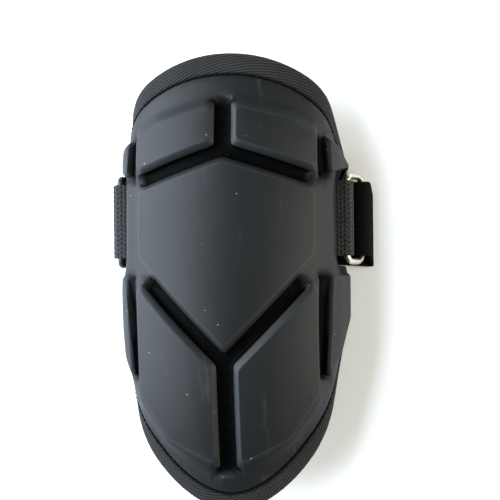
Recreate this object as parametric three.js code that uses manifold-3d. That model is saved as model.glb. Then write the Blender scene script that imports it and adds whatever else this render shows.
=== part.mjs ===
// Elbow guard: a moulded shell on a padded liner, held by a strap through two side rings.
// Millimetres. X runs across the arm, Y along it with the wide upper end at +Y, Z up.
// The guard lies open side down. The origin is under the middle of the strap.
import * as THREE from 'three';
import { mergeVertices } from 'three/addons/utils/BufferGeometryUtils.js';
import Module from 'manifold-3d';

const wasm = await Module();
wasm.setup();

// Form that the shell and the liner follow: the inner face of the shell
const CREST_HEIGHT = 50;
const CREST_BACK = 17;
const CROWN_RADIUS = 85;
const CROWN_TURN = THREE.MathUtils.degToRad(28);
const SHOULDER_RADIUS = 22;
const WALL_TURN = THREE.MathUtils.degToRad(78);
const UPPER_DROP = 10.5;
const LOWER_DROP = 18.7;
const UPPER_NARROWING = 0.03;
const LOWER_NARROWING = 0.07;

// Lengths from the middle of the strap, and girths from the crown line
const SHELL_UPPER = 71;
const SHELL_LOWER = 135;
const BORDER_UPPER = 12.5;
const BORDER_LOWER = 9;
const SHELL_GIRTH = 81;
const NOTCH_GIRTH = 61.7;
const NOTCH_HALF = 25;
const NOTCH_CHAMFER = 4.5;
const SHELL_LIFT = 5;

// Shell walls and raised panels
const FLANGE = 2;
const PANEL_RISE = 3.5;
const PANEL_SLOPE = 1.6;
const PANEL_EDGE = 0.9;
const PANEL_CORNER = 3;
const GROOVE_HALF = 2.6;
const SIDE_GROOVE_HALF = 0.7;
const RIM_ROUND = 0.6;

// Liner
const LINER = 8.5;
const LINER_PROUD = 1.2;
const LINER_ROUND = 3;

// Webbing tabs, rings and strap
const WEB_WIDTH = 38;
const WEB_THICKNESS = 1.6;
const TAB_ROOT_GIRTH = 44;
const STEEL_WIRE = 3.4;
const PLASTIC_ROD = 4;
const RING_OPENING = 40;
const RING_CORNER = 3.6;
const STRAP_THICKNESS = 2;
const STRAP_BACK = 5.5;
const TAIL_REACH = 20;
const FLAP_REACH = 34;
const PATCH_LENGTH = 50;
const PATCH_THICKNESS = 1;
const PATCH_MARGIN = 1;
const PATCH_SETBACK = 3;
const GAP = 0.3;

// Where the webbing leaves the liner, as shares of the flange beyond the notch's edge, and how
// soon it gives up the curve of the liner as it goes out to the ring
const TAB_EXIT = 0.6;
const TAB_ENTRY = 1.4;
const TAB_EASE = 1.6;
const TAB_BEND = 1;
const TAB_ENTRY_OUT = 0.1;
const TAB_ENTRY_DROP = 1.2;

// Bars of the rings at the middle of the strap: how far out from the notch's edge, and how far
// down from it or up from the table
const STEEL_UPPER_OUT = 6.54;
const STEEL_UPPER_DOWN = 6.93;
const STEEL_LOWER_OUT = 13.74;
const STEEL_LOWER_HEIGHT = 4.9;
const PLASTIC_UPPER_OUT = 7.54;
const PLASTIC_UPPER_DOWN = 6.53;
const PLASTIC_LOWER_OUT = 8.34;
const PLASTIC_LOWER_HEIGHT = 6;

// Bends of the strap: how far each lies from the bar, the tail's end or the flap's end that it
// is named for, and its radius
const TURN_OUT = 5.4;
const TURN_RADIUS = 1.6;
const TURN_LEAN = 0.2;
const LEAVE_IN = 1;
const LEAVE_DROP = 0.9;
const LEAVE_RADIUS = 1.4;
const LEVEL_IN = 12;
const LEVEL_RADIUS = 20;
const CROSSING_PAST_TAIL = 3;
const TABLE_PAST_TAIL = 11;
const CROSSING_RADIUS = 12;
const LIFT_IN = 8;
const LIFT_RADIUS = 6;
const FLAP_LEAVE_IN = 5;
const FLAP_LEVEL_PAST = 14;
const FLAP_RADIUS = 4;

// Facets
const CROWN_STEPS = 4;
const SHOULDER_STEPS = 6;
const LENGTH_STEP = 14;
const CORNER_PIECES = 3;
const OUTLINE_PIECES = 9;
const ARC_STEP = THREE.MathUtils.degToRad(22);
const WIRE_SIDES = 10;
const TINY = 1e-4;
const MERGE = 1e-3;

const CREST_ALONG = -CREST_BACK;
const PAD_UPPER = SHELL_UPPER + BORDER_UPPER;
const PAD_LOWER = SHELL_LOWER + BORDER_LOWER;
const CROWN_GIRTH = CROWN_RADIUS * CROWN_TURN;
const WALL_GIRTH = CROWN_GIRTH + SHOULDER_RADIUS * (WALL_TURN - CROWN_TURN);

// Across and drop of the full-size section at a girth from the crown line
function sectionAt(girth) {
  const side = Math.sign(girth) || 1;
  const reach = Math.abs(girth);
  const crown = Math.min(reach, CROWN_GIRTH) / CROWN_RADIUS;
  let across = CROWN_RADIUS * Math.sin(crown);
  let drop = CROWN_RADIUS * (1 - Math.cos(crown));
  if (reach > CROWN_GIRTH) {
    const turn = CROWN_TURN + (Math.min(reach, WALL_GIRTH) - CROWN_GIRTH) / SHOULDER_RADIUS;
    across += SHOULDER_RADIUS * (Math.sin(turn) - Math.sin(CROWN_TURN));
    drop += SHOULDER_RADIUS * (Math.cos(CROWN_TURN) - Math.cos(turn));
  }
  const wall = Math.max(0, reach - WALL_GIRTH);
  return { across: side * (across + wall * Math.cos(WALL_TURN)), drop: drop + wall * Math.sin(WALL_TURN) };
}

// Drop of the crown line and size of the section at a place along the guard
function lengthwise(along) {
  if (along > CREST_ALONG) {
    const share = (along - CREST_ALONG) / (PAD_UPPER - CREST_ALONG);
    return { drop: UPPER_DROP * share * share, size: 1 - UPPER_NARROWING * share * share };
  }
  const share = (CREST_ALONG - along) / (PAD_LOWER + CREST_ALONG);
  return { drop: LOWER_DROP * share * share, size: 1 - LOWER_NARROWING * share * share };
}

function formPoint(girth, along) {
  const { drop, size } = lengthwise(along);
  const section = sectionAt(girth / size);
  const height = CREST_HEIGHT - drop - size * section.drop;
  return new THREE.Vector3(size * section.across, along, height);
}

// Point at a rise above the form, along its normal
function onForm(girth, along, rise) {
  const step = 0.05;
  const around = formPoint(girth + step, along).sub(formPoint(girth - step, along));
  const onward = formPoint(girth, along + step).sub(formPoint(girth, along - step));
  return around.cross(onward).normalize().multiplyScalar(rise).add(formPoint(girth, along));
}

// Girth at which the form comes down to the table
function tableGirth(along) {
  const { drop, size } = lengthwise(along);
  const left = CREST_HEIGHT - drop - size * sectionAt(WALL_GIRTH).drop;
  return size * WALL_GIRTH + left / Math.sin(WALL_TURN);
}

// A closed loop from its right half, listed from the upper end to the lower end
function mirrored(half) {
  const left = half.slice(1, -1).map((point) => new THREE.Vector2(-point.x, point.y));
  return [...half.slice().reverse(), ...left];
}

function bend(points) {
  const ends = points.map(([x, y]) => new THREE.Vector2(x, y));
  return new THREE.CubicBezierCurve(...ends).getPoints(OUTLINE_PIECES);
}

// Loop moved inwards by one distance, or by one for the edge that leaves each corner
function inset(loop, distance) {
  const count = loop.length;
  const back = (i) => (Array.isArray(distance) ? distance[i] : distance);
  const inward = loop.map((point, i) => {
    const edge = loop[(i + 1) % count].clone().sub(point).normalize();
    return new THREE.Vector2(-edge.y, edge.x);
  });
  return loop.map((point, i) => {
    const before = inward[(i + count - 1) % count];
    const after = inward[i];
    const sum = before.clone().add(after);
    const turn = before.x * after.y - before.y * after.x;
    if (Math.abs(turn) < 0.02) {
      const mean = (back((i + count - 1) % count) + back(i)) / 2;
      return point.clone().addScaledVector(sum.normalize(), mean);
    }
    const first = back((i + count - 1) % count);
    const second = back(i);
    const move = new THREE.Vector2(
      (first * after.y - second * before.y) / turn,
      (second * before.x - first * after.x) / turn);
    return point.clone().add(move);
  });
}

// Loop with each corner rounded by a short curve
function softened(loop, radius) {
  const count = loop.length;
  return loop.flatMap((corner, i) => {
    const before = loop[(i + count - 1) % count].clone().sub(corner);
    const after = loop[(i + 1) % count].clone().sub(corner);
    const start = corner.clone().addScaledVector(before, Math.min(0.4, radius / before.length()));
    const end = corner.clone().addScaledVector(after, Math.min(0.4, radius / after.length()));
    return new THREE.QuadraticBezierCurve(start, corner, end).getPoints(CORNER_PIECES);
  });
}

// Solid through loops of like corners at rising heights, in flat coordinates
function stacked(levels) {
  const count = levels[0].loop.length;
  const positions = levels.flatMap(({ loop, rise }) => loop.flatMap((point) => [point.x, point.y, rise]));
  const faces = THREE.ShapeUtils.triangulateShape(levels[0].loop, []).map(([a, b, c]) => [a, c, b]);
  for (let level = 0; level + 1 < levels.length; level += 1) {
    for (let i = 0; i < count; i += 1) {
      const low = level * count;
      const next = (i + 1) % count;
      faces.push([low + i, low + next, low + count + next]);
      faces.push([low + i, low + count + next, low + count + i]);
    }
  }
  const top = (levels.length - 1) * count;
  const lid = THREE.ShapeUtils.triangulateShape(levels[levels.length - 1].loop, []);
  lid.forEach((face) => faces.push(face.map((corner) => corner + top)));
  const geometry = new THREE.BufferGeometry();
  geometry.setAttribute('position', new THREE.Float32BufferAttribute(positions, 3));
  geometry.setIndex(faces.flat());
  return geometry;
}

function toSolid(geometry) {
  const bare = geometry.clone();
  bare.deleteAttribute('normal');
  bare.deleteAttribute('uv');
  const merged = mergeVertices(bare, 1e-4);
  const vertProperties = new Float32Array(merged.attributes.position.array);
  const triVerts = new Uint32Array(merged.index.array);
  return new wasm.Manifold(new wasm.Mesh({ numProp: 3, vertProperties, triVerts }));
}

function toGeometry(solid) {
  const mesh = solid.getMesh();
  const geometry = new THREE.BufferGeometry();
  geometry.setAttribute('position', new THREE.BufferAttribute(mesh.vertProperties, 3));
  geometry.setIndex(new THREE.BufferAttribute(mesh.triVerts, 1));
  return geometry;
}

// Solid cut at each line across one axis
function slices(solid, axis, lines) {
  const reach = 2 * (PAD_UPPER + PAD_LOWER);
  const ends = [-reach, ...lines, reach];
  return ends.slice(1).map((end, i) => {
    const size = new THREE.Vector3(reach, reach, reach).setComponent(axis, end - ends[i]);
    const middle = new THREE.Vector3().setComponent(axis, (end + ends[i]) / 2);
    const slab = new THREE.BoxGeometry(...size.toArray()).translate(...middle.toArray());
    return solid.intersect(toSolid(slab));
  });
}

// Triangle split wherever a neighbour has a corner partway along one of its edges
function matched(triangle, corners) {
  for (let i = 0; i < 3; i += 1) {
    const [start, end, apex] = [0, 1, 2].map((k) => triangle[(i + k) % 3]);
    const length = start.distanceTo(end);
    const between = corners.find((point) => {
      const before = start.distanceTo(point);
      const after = end.distanceTo(point);
      return Math.min(before, after) > MERGE && before + after < length + TINY * MERGE;
    });
    if (between) {
      return [[start, between, apex], [between, end, apex]].flatMap((part) => matched(part, corners));
    }
  }
  return [triangle];
}

// Triangles of the solid's skin, with an edge along every line so that it can bend there
function scored(solid) {
  const girths = girthLines();
  const lengths = lengthLines();
  const on = (point, axis, line) => Math.abs(point[axis] - line) < TINY;
  const tiles = slices(solid, 0, girths).flatMap((strip) => slices(strip, 1, lengths));
  const skin = tiles.flatMap((tile) => {
    const flat = toGeometry(tile).toNonIndexed().attributes.position;
    const corner = (i) => new THREE.Vector3().fromBufferAttribute(flat, i);
    return Array.from({ length: flat.count / 3 }, (_, i) => [0, 1, 2].map((k) => corner(3 * i + k)));
  }).filter((triangle) => !girths.some((line) => triangle.every((point) => on(point, 'x', line)))
    && !lengths.some((line) => triangle.every((point) => on(point, 'y', line))));
  const corners = skin.flat().filter((point) => girths.some((line) => on(point, 'x', line))
    || lengths.some((line) => on(point, 'y', line)));
  return skin.flatMap((triangle) => matched(triangle, corners));
}

// Lines along which the form bends, and lines across it
function girthLines() {
  const lines = [0];
  for (let i = 1; i <= CROWN_STEPS; i += 1) lines.push((CROWN_GIRTH * i) / CROWN_STEPS);
  for (let i = 1; i <= SHOULDER_STEPS; i += 1) {
    lines.push(CROWN_GIRTH + ((WALL_GIRTH - CROWN_GIRTH) * i) / SHOULDER_STEPS);
  }
  return [...lines.slice(1).map((line) => -line).reverse(), ...lines];
}

function lengthLines() {
  const count = Math.floor((PAD_UPPER + PAD_LOWER) / LENGTH_STEP);
  return Array.from({ length: count }, (_, i) => (i + 1) * LENGTH_STEP - PAD_LOWER);
}

// Flat solid bent round the form
function wrapped(solid) {
  const points = scored(solid).flat().map((point) => onForm(point.x, point.y, point.z));
  return mergeVertices(new THREE.BufferGeometry().setFromPoints(points), MERGE);
}

// Side of the shell and the liner round the notch that the strap passes through
function notch(rim) {
  const corner = NOTCH_HALF - NOTCH_CHAMFER;
  const shoulder = NOTCH_GIRTH + NOTCH_CHAMFER;
  return [
    [rim, NOTCH_HALF], [shoulder, NOTCH_HALF], [NOTCH_GIRTH, corner],
    [NOTCH_GIRTH, -corner], [shoulder, -NOTCH_HALF], [rim, -NOTCH_HALF],
  ].map(([x, y]) => new THREE.Vector2(x, y));
}

function shellOutline() {
  const upper = bend([
    [0, SHELL_UPPER], [0.34 * SHELL_GIRTH, SHELL_UPPER],
    [0.6 * SHELL_GIRTH, 0.82 * SHELL_UPPER], [0.8 * SHELL_GIRTH, 0.57 * SHELL_UPPER]]);
  const lower = bend([
    [0.78 * SHELL_GIRTH, -0.55 * SHELL_LOWER], [0.54 * SHELL_GIRTH, -0.78 * SHELL_LOWER],
    [0.25 * SHELL_GIRTH, -SHELL_LOWER], [0, -SHELL_LOWER]]);
  const rim = (along) => new THREE.Vector2(tableGirth(along) - SHELL_LIFT, along);
  const wings = [
    rim(0.42 * SHELL_UPPER), ...notch(tableGirth(0) - SHELL_LIFT), rim(-0.37 * SHELL_LOWER)];
  return mirrored([...upper, ...wings, ...lower]);
}

function linerOutline() {
  const upper = bend([
    [0, PAD_UPPER], [0.31 * SHELL_GIRTH, PAD_UPPER],
    [0.59 * SHELL_GIRTH, 0.85 * PAD_UPPER], [0.85 * SHELL_GIRTH, 0.58 * PAD_UPPER]]);
  const lower = bend([
    [0.83 * SHELL_GIRTH, -0.55 * PAD_LOWER], [0.59 * SHELL_GIRTH, -0.79 * PAD_LOWER],
    [0.27 * SHELL_GIRTH, -PAD_LOWER], [0, -PAD_LOWER]]);
  const rim = (along) => new THREE.Vector2(tableGirth(along) + LINER_PROUD, along);
  const wings = [
    rim(0.42 * PAD_UPPER), ...notch(tableGirth(0) + LINER_PROUD), rim(-0.39 * PAD_LOWER)];
  return mirrored([...upper, ...wings, ...lower]);
}

// Panels: corners as shares of the shell's girth and of its upper or lower length, and
// how far the edge to the next corner stands back, as where a groove runs along it
const CENTRE_PANEL = [
  { across: 0, along: 0.473, back: GROOVE_HALF },
  { across: -0.562, along: 0.262, back: 0 },
  { across: -0.562, along: -0.163, back: GROOVE_HALF },
  { across: 0, along: -0.518, back: GROOVE_HALF },
  { across: 0.562, along: -0.163, back: 0 },
  { across: 0.562, along: 0.262, back: GROOVE_HALF },
];
const UPPER_PANEL = [
  { across: 0, along: 0.473, back: GROOVE_HALF },
  { across: 0.574, along: 0.257, back: SIDE_GROOVE_HALF },
  { across: 0.574, along: 0.64, back: 0 },
  { across: 0.426, along: 0.746, back: 0 },
  { across: 0, along: 0.87, back: GROOVE_HALF },
];
const LOWER_PANEL = [
  { across: 0, along: -0.518, back: GROOVE_HALF },
  { across: 0, along: -0.943, back: 0 },
  { across: 0.405, along: -0.824, back: 0 },
  { across: 0.574, along: -0.674, back: SIDE_GROOVE_HALF },
  { across: 0.574, along: -0.16, back: GROOVE_HALF },
];
const UPPER_WING = [
  { across: 0.574, along: 0.31, back: 0 },
  { across: 0.79, along: 0.37, back: 0 },
  { across: 0.955, along: 0.39, back: 0 },
  { across: 0.76, along: 0.56, back: 0 },
  { across: 0.574, along: 0.645, back: SIDE_GROOVE_HALF },
];
const LOWER_WING = [
  { across: 0.574, along: -0.56, back: 0 },
  { across: 0.78, along: -0.475, back: 0 },
  { across: 0.95, along: -0.37, back: 0 },
  { across: 0.95, along: -0.205, back: 0 },
  { across: 0.574, along: -0.205, back: SIDE_GROOVE_HALF },
];

function panelFoot(rows, side) {
  const corners = rows.map(({ across, along }) => {
    const length = along > 0 ? SHELL_UPPER : SHELL_LOWER;
    return new THREE.Vector2(side * across * SHELL_GIRTH, along * length);
  });
  const backs = rows.map((row) => row.back);
  if (side < 0) {
    corners.reverse();
    backs.reverse().push(backs.shift());
  }
  return inset(corners, backs);
}

// Raised panel with sloping sides and a rounded edge, its foot inside the flange
function panel(rows, side) {
  const foot = panelFoot(rows, side);
  const level = (back, rise) => ({ loop: softened(inset(foot, back), PANEL_CORNER), rise });
  return toSolid(stacked([
    level(0, FLANGE / 2),
    level(0, FLANGE),
    level(PANEL_SLOPE, FLANGE + PANEL_RISE - PANEL_EDGE),
    level(PANEL_SLOPE + PANEL_EDGE, FLANGE + PANEL_RISE),
  ]));
}

function shell() {
  const outline = shellOutline();
  const flange = toSolid(stacked([
    { loop: outline, rise: 0 },
    { loop: outline, rise: FLANGE - RIM_ROUND },
    { loop: inset(outline, RIM_ROUND), rise: FLANGE },
  ]));
  const pairs = [UPPER_PANEL, LOWER_PANEL, UPPER_WING, LOWER_WING];
  const panels = pairs.flatMap((rows) => [panel(rows, 1), panel(rows, -1)]);
  return wrapped([panel(CENTRE_PANEL, 1), ...panels].reduce((body, next) => body.add(next), flange));
}

// Room under the shell for a tab's two layers of webbing
function tabPocket(side) {
  const depth = 2 * WEB_THICKNESS + 3 * GAP;
  const near = TAB_ROOT_GIRTH - GAP;
  const far = NOTCH_GIRTH + NOTCH_CHAMFER;
  const pocket = new THREE.BoxGeometry(far - near, WEB_WIDTH + 2 * GAP, depth + LINER_PROUD);
  pocket.translate((side * (near + far)) / 2, 0, (LINER_PROUD - depth) / 2);
  return toSolid(pocket);
}

// Padded liner: rounded all round, with the shell seated in it and flat where it rests
function liner() {
  const outline = linerOutline();
  const low = -LINER - GAP;
  const body = toSolid(stacked([
    { loop: inset(outline, 0.75 * LINER_ROUND), rise: low },
    { loop: inset(outline, 0.2 * LINER_ROUND), rise: low + 0.4 * LINER_ROUND },
    { loop: outline, rise: low + LINER_ROUND },
    { loop: outline, rise: LINER_PROUD - 0.8 * LINER_ROUND },
    { loop: inset(outline, 0.25 * LINER_ROUND), rise: LINER_PROUD - 0.25 * LINER_ROUND },
    { loop: inset(outline, 0.75 * LINER_ROUND), rise: LINER_PROUD },
  ]));
  const seat = inset(shellOutline(), -GAP);
  const seatCut = toSolid(stacked([{ loop: seat, rise: -GAP }, { loop: seat, rise: LINER_PROUD + FLANGE }]));
  const flat = [seatCut, tabPocket(1), tabPocket(-1)].reduce((kept, cut) => kept.subtract(cut), body);
  const reach = 2 * (PAD_UPPER + PAD_LOWER);
  const table = toSolid(new THREE.BoxGeometry(reach, reach, LINER).translate(0, 0, -LINER / 2));
  return toGeometry(toSolid(wrapped(flat)).subtract(table));
}

// Points along a route of straight runs with rounded corners; slide is a shift along the guard
function rounded(corners) {
  const route = [corners[0]];
  corners.slice(1, -1).forEach((corner, i) => {
    const here = new THREE.Vector2(corner.x, corner.z);
    const before = new THREE.Vector2(corners[i].x, corners[i].z).sub(here).normalize();
    const after = new THREE.Vector2(corners[i + 2].x, corners[i + 2].z).sub(here).normalize();
    const half = Math.acos(THREE.MathUtils.clamp(before.dot(after), -1, 1)) / 2;
    const middle = before.clone().add(after).normalize();
    const centre = here.clone().addScaledVector(middle, corner.radius / Math.sin(half));
    const arm = here.clone().addScaledVector(before, corner.radius / Math.tan(half)).sub(centre);
    const turn = Math.sign(before.y * after.x - before.x * after.y) * (Math.PI - 2 * half);
    const steps = Math.ceil(Math.abs(turn) / ARC_STEP);
    for (let k = 0; k <= steps; k += 1) {
      const point = arm.clone().rotateAround(new THREE.Vector2(), (turn * k) / steps).add(centre);
      route.push({ x: point.x, z: point.y, slide: corner.slide });
    }
  });
  route.push(corners[corners.length - 1]);
  return route.filter((point, i) => {
    const last = route[Math.max(0, i - 1)];
    return i === 0 || Math.hypot(point.x - last.x, point.z - last.z) > MERGE;
  });
}

// Band along a route: a rectangle of its width and thickness, with a place function for each point
function band(route, thickness, width, place) {
  const columns = [-width / 2, 0, width / 2];
  const positions = [];
  const normal = (start, end) => new THREE.Vector2(start.z - end.z, end.x - start.x).normalize();
  route.forEach((point, i) => {
    const before = normal(route[Math.max(0, i - 1)], i > 0 ? point : route[1]);
    const after = i + 1 < route.length ? normal(point, route[i + 1]) : before;
    const out = before.clone().add(after).normalize();
    const half = thickness / 2 / out.dot(before);
    [half, -half].forEach((rise) => columns.forEach((column) => {
      positions.push(...place(point, point.x + rise * out.x, column, point.z + rise * out.y).toArray());
    }));
  });
  const quads = [];
  const ring = [0, 1, 2, 5, 4, 3];
  for (let i = 0; i + 1 < route.length; i += 1) {
    ring.forEach((corner, k) => {
      const next = ring[(k + 1) % ring.length];
      quads.push([6 * i + corner, 6 * i + next, 6 * i + 6 + next, 6 * i + 6 + corner]);
    });
  }
  const last = 6 * (route.length - 1);
  quads.push([0, 3, 4, 1], [1, 4, 5, 2]);
  quads.push([last, last + 1, last + 4, last + 3], [last + 1, last + 2, last + 5, last + 4]);
  const geometry = new THREE.BufferGeometry();
  geometry.setAttribute('position', new THREE.Float32BufferAttribute(positions, 3));
  geometry.setIndex(quads.flatMap(([a, b, c, d]) => [a, c, b, a, d, c]));
  return geometry;
}

// Webbing tab: from under the shell, out of the notch, round the ring's upper bar and back under
function tab(bar, barThickness) {
  const side = Math.sign(bar.x);
  const wrap = barThickness / 2 + GAP + WEB_THICKNESS / 2;
  const outer = -GAP - WEB_THICKNESS / 2;
  const inner = outer - WEB_THICKNESS - GAP;
  const exit = NOTCH_GIRTH + TAB_EXIT * FLANGE;
  const entry = NOTCH_GIRTH + TAB_ENTRY * FLANGE;
  const root = (rise, end) => {
    const bends = girthLines().filter((line) => line > TAB_ROOT_GIRTH + GAP && line < end - GAP);
    return [TAB_ROOT_GIRTH, ...bends, end].map((girth) => {
      const point = onForm(side * girth, 0, rise);
      return { x: point.x, z: point.z, girth: side * girth, follow: 1 };
    });
  };
  const over = root(outer, exit);
  const under = root(inner, entry);
  const inward = bar.x - side * 2 * wrap;
  const far = bar.x + side * wrap;
  const leave = over[over.length - 1];
  const enter = under[under.length - 1];
  const straight = over[over.length - 2];
  const turnOff = straight.x + (side * (straight.z - bar.y - wrap)) / Math.tan(WALL_TURN);
  const free = rounded([
    straight,
    { x: turnOff, z: bar.y + wrap, radius: TAB_BEND },
    { x: far, z: bar.y + wrap, radius: wrap },
    { x: far, z: bar.y - wrap, radius: wrap },
    { x: inward, z: bar.y - wrap, radius: TAB_BEND },
    { x: enter.x + side * TAB_ENTRY_OUT, z: enter.z - TAB_ENTRY_DROP, radius: TAB_BEND },
    under[under.length - 2],
  ]).slice(1, -1).map((point) => {
    const away = Math.abs(point.x - leave.x) / Math.abs(far - leave.x);
    return { ...point, girth: side * exit, follow: Math.max(0, 1 - TAB_EASE * away) };
  });
  const route = [...over.slice(0, -1), ...free, ...under.slice(0, -1).reverse()];
  const place = (point, x, along, z) => {
    const shift = formPoint(point.girth, along).sub(formPoint(point.girth, 0));
    return new THREE.Vector3(x + point.follow * shift.x, along, z + point.follow * shift.z);
  };
  return band(route, WEB_THICKNESS, WEB_WIDTH, place);
}

// Rectangular ring of round wire through both bars
function ring(upper, lower, thickness) {
  const middle = upper.clone().add(lower).multiplyScalar(0.5);
  const half = upper.distanceTo(lower) / 2;
  const down = lower.clone().sub(upper).normalize();
  const end = (RING_OPENING + thickness) / 2;
  const corners = [[end, half], [-end, half], [-end, -half], [end, -half]];
  const loop = softened(corners.map(([x, y]) => new THREE.Vector2(x, y)), RING_CORNER);
  const outward = inset(loop, -1).map((point, i) => point.sub(loop[i]).normalize());
  const side = new THREE.Vector3(down.y, 0, -down.x);
  const positions = loop.flatMap((point, i) => {
    const out = outward[i];
    return Array.from({ length: WIRE_SIDES }, (_, k) => {
      const turn = (2 * Math.PI * k) / WIRE_SIDES;
      const along = point.x + (out.x * Math.cos(turn) * thickness) / 2;
      const fall = point.y + (out.y * Math.cos(turn) * thickness) / 2;
      const centre = new THREE.Vector3(middle.x + down.x * fall, along, middle.y + down.y * fall);
      return centre.addScaledVector(side, (Math.sin(turn) * thickness) / 2).toArray();
    }).flat();
  });
  const index = [];
  loop.forEach((_, i) => {
    for (let k = 0; k < WIRE_SIDES; k += 1) {
      const here = i * WIRE_SIDES;
      const next = ((i + 1) % loop.length) * WIRE_SIDES;
      const turn = (k + 1) % WIRE_SIDES;
      index.push(here + k, next + k, next + turn, here + k, next + turn, here + turn);
    }
  });
  const geometry = new THREE.BufferGeometry();
  geometry.setAttribute('position', new THREE.Float32BufferAttribute(positions, 3));
  geometry.setIndex(index);
  return geometry;
}

// Place of a bar: out from the edge of the notch, at a height above the table
function barAt(side, out, height) {
  return new THREE.Vector2(side * (formPoint(NOTCH_GIRTH, 0).x + out), height);
}

const NOTCH_HEIGHT = formPoint(NOTCH_GIRTH, 0).z;
const STEEL_UPPER_BAR = barAt(1, STEEL_UPPER_OUT, NOTCH_HEIGHT - STEEL_UPPER_DOWN);
const STEEL_LOWER_BAR = barAt(1, STEEL_LOWER_OUT, STEEL_LOWER_HEIGHT);
const PLASTIC_UPPER_BAR = barAt(-1, PLASTIC_UPPER_OUT, NOTCH_HEIGHT - PLASTIC_UPPER_DOWN);
const PLASTIC_LOWER_BAR = barAt(-1, PLASTIC_LOWER_OUT, PLASTIC_LOWER_HEIGHT);
const TAIL_END = -TAIL_REACH;
const FLAP_END = -FLAP_REACH;
const HALF_STRAP = STRAP_THICKNESS / 2;
const TAIL_LEVEL = HALF_STRAP;
const UPPER_LEVEL = STRAP_THICKNESS + PATCH_THICKNESS + 2 * GAP + HALF_STRAP;

// Strap: tail on the table, over the steel ring's lower bar, back over the tail, then
// round the plastic ring's lower bar, where its end is sewn down
function strap() {
  const steel = STEEL_WIRE / 2 + GAP + HALF_STRAP;
  const plastic = PLASTIC_ROD / 2 + GAP + HALF_STRAP;
  const bar = STEEL_LOWER_BAR;
  const rod = PLASTIC_LOWER_BAR;
  const flap = TAIL_LEVEL + STRAP_THICKNESS + GAP;
  const route = rounded([
    { x: TAIL_END, z: TAIL_LEVEL, slide: 0 },
    { x: bar.x + TURN_OUT, z: TAIL_LEVEL, radius: TURN_RADIUS, slide: -STRAP_BACK },
    { x: bar.x + steel + TURN_LEAN, z: bar.y + steel, radius: steel, slide: 0 },
    { x: bar.x - steel, z: bar.y + steel, radius: steel, slide: 0 },
    { x: bar.x - steel - LEAVE_IN, z: UPPER_LEVEL - LEAVE_DROP, radius: LEAVE_RADIUS, slide: 0 },
    { x: bar.x - steel - LEVEL_IN, z: UPPER_LEVEL, radius: LEVEL_RADIUS, slide: 0 },
    { x: TAIL_END - CROSSING_PAST_TAIL, z: UPPER_LEVEL, radius: CROSSING_RADIUS, slide: 0 },
    { x: TAIL_END - TABLE_PAST_TAIL, z: TAIL_LEVEL, radius: CROSSING_RADIUS, slide: 0 },
    { x: rod.x + LIFT_IN, z: TAIL_LEVEL, radius: LIFT_RADIUS, slide: 0 },
    { x: rod.x - plastic, z: rod.y - plastic, radius: plastic, slide: 0 },
    { x: rod.x - plastic, z: rod.y + plastic, radius: plastic, slide: 0 },
    { x: rod.x + FLAP_LEAVE_IN, z: rod.y + plastic, radius: FLAP_RADIUS, slide: 0 },
    { x: FLAP_END - FLAP_LEVEL_PAST, z: flap, radius: FLAP_RADIUS, slide: 0 },
    { x: FLAP_END, z: flap, slide: 0 },
  ]);
  const place = (point, x, along, z) => new THREE.Vector3(x, along + point.slide, z);
  return band(route, STRAP_THICKNESS, WEB_WIDTH, place);
}

function hookPatch() {
  const patch = new THREE.BoxGeometry(PATCH_LENGTH, WEB_WIDTH - 2 * PATCH_MARGIN, PATCH_THICKNESS);
  const across = TAIL_END + PATCH_SETBACK + PATCH_LENGTH / 2;
  return patch.translate(across, 0, STRAP_THICKNESS + GAP + PATCH_THICKNESS / 2);
}

function finish(color, roughness, metalness) {
  return new THREE.MeshStandardMaterial({ color, roughness, metalness });
}

const guard = new THREE.Group();

function place(name, geometry, material) {
  const mesh = new THREE.Mesh(geometry, material);
  mesh.name = name;
  guard.add(mesh);
}

const webbing = finish(0x35363a, 0.9, 0);
place('shell', shell(), finish(0x3b3f44, 0.55, 0));
place('liner', liner(), finish(0x2f3032, 0.95, 0));
place('tab_left', tab(PLASTIC_UPPER_BAR, PLASTIC_ROD), webbing);
place('tab_right', tab(STEEL_UPPER_BAR, STEEL_WIRE), webbing);
place('ring_left', ring(PLASTIC_UPPER_BAR, PLASTIC_LOWER_BAR, PLASTIC_ROD), finish(0x1b1b1c, 0.5, 0));
place('ring_right', ring(STEEL_UPPER_BAR, STEEL_LOWER_BAR, STEEL_WIRE), finish(0xb5ac92, 0.3, 1));
place('strap', strap(), finish(0x26261f, 0.9, 0));
place('hook_patch', hookPatch(), finish(0x1e1e1e, 0.95, 0));

export default guard;
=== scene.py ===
# Elbow guard: a moulded shell on a padded liner, with a strap through two side rings.
# Metres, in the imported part's frame: X across the arm, Y along it with the wide end at +Y, Z up.
import math

import bmesh
import bpy
import numpy as np
from mathutils import Matrix, Vector, geometry, kdtree


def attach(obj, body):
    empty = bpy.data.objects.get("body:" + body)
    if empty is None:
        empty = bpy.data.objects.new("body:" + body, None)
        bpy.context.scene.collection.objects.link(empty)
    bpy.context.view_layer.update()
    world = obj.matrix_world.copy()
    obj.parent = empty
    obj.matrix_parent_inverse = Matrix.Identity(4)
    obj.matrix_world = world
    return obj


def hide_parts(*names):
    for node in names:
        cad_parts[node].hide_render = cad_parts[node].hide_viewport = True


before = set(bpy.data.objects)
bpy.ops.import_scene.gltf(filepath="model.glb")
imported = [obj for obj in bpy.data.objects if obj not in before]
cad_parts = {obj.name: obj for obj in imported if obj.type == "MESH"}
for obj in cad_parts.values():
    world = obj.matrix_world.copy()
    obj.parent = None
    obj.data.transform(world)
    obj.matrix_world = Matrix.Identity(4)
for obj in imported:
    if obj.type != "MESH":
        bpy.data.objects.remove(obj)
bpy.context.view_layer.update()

# Liner
# A sheet of soft foam under black twill, pressed to the arm's form. Its edge is turned and sewn
# and stands out all round the shell, and the cloth swells a little between its seams.
CREST_HEIGHT = 0.050
CREST_ALONG = -0.017
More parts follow.
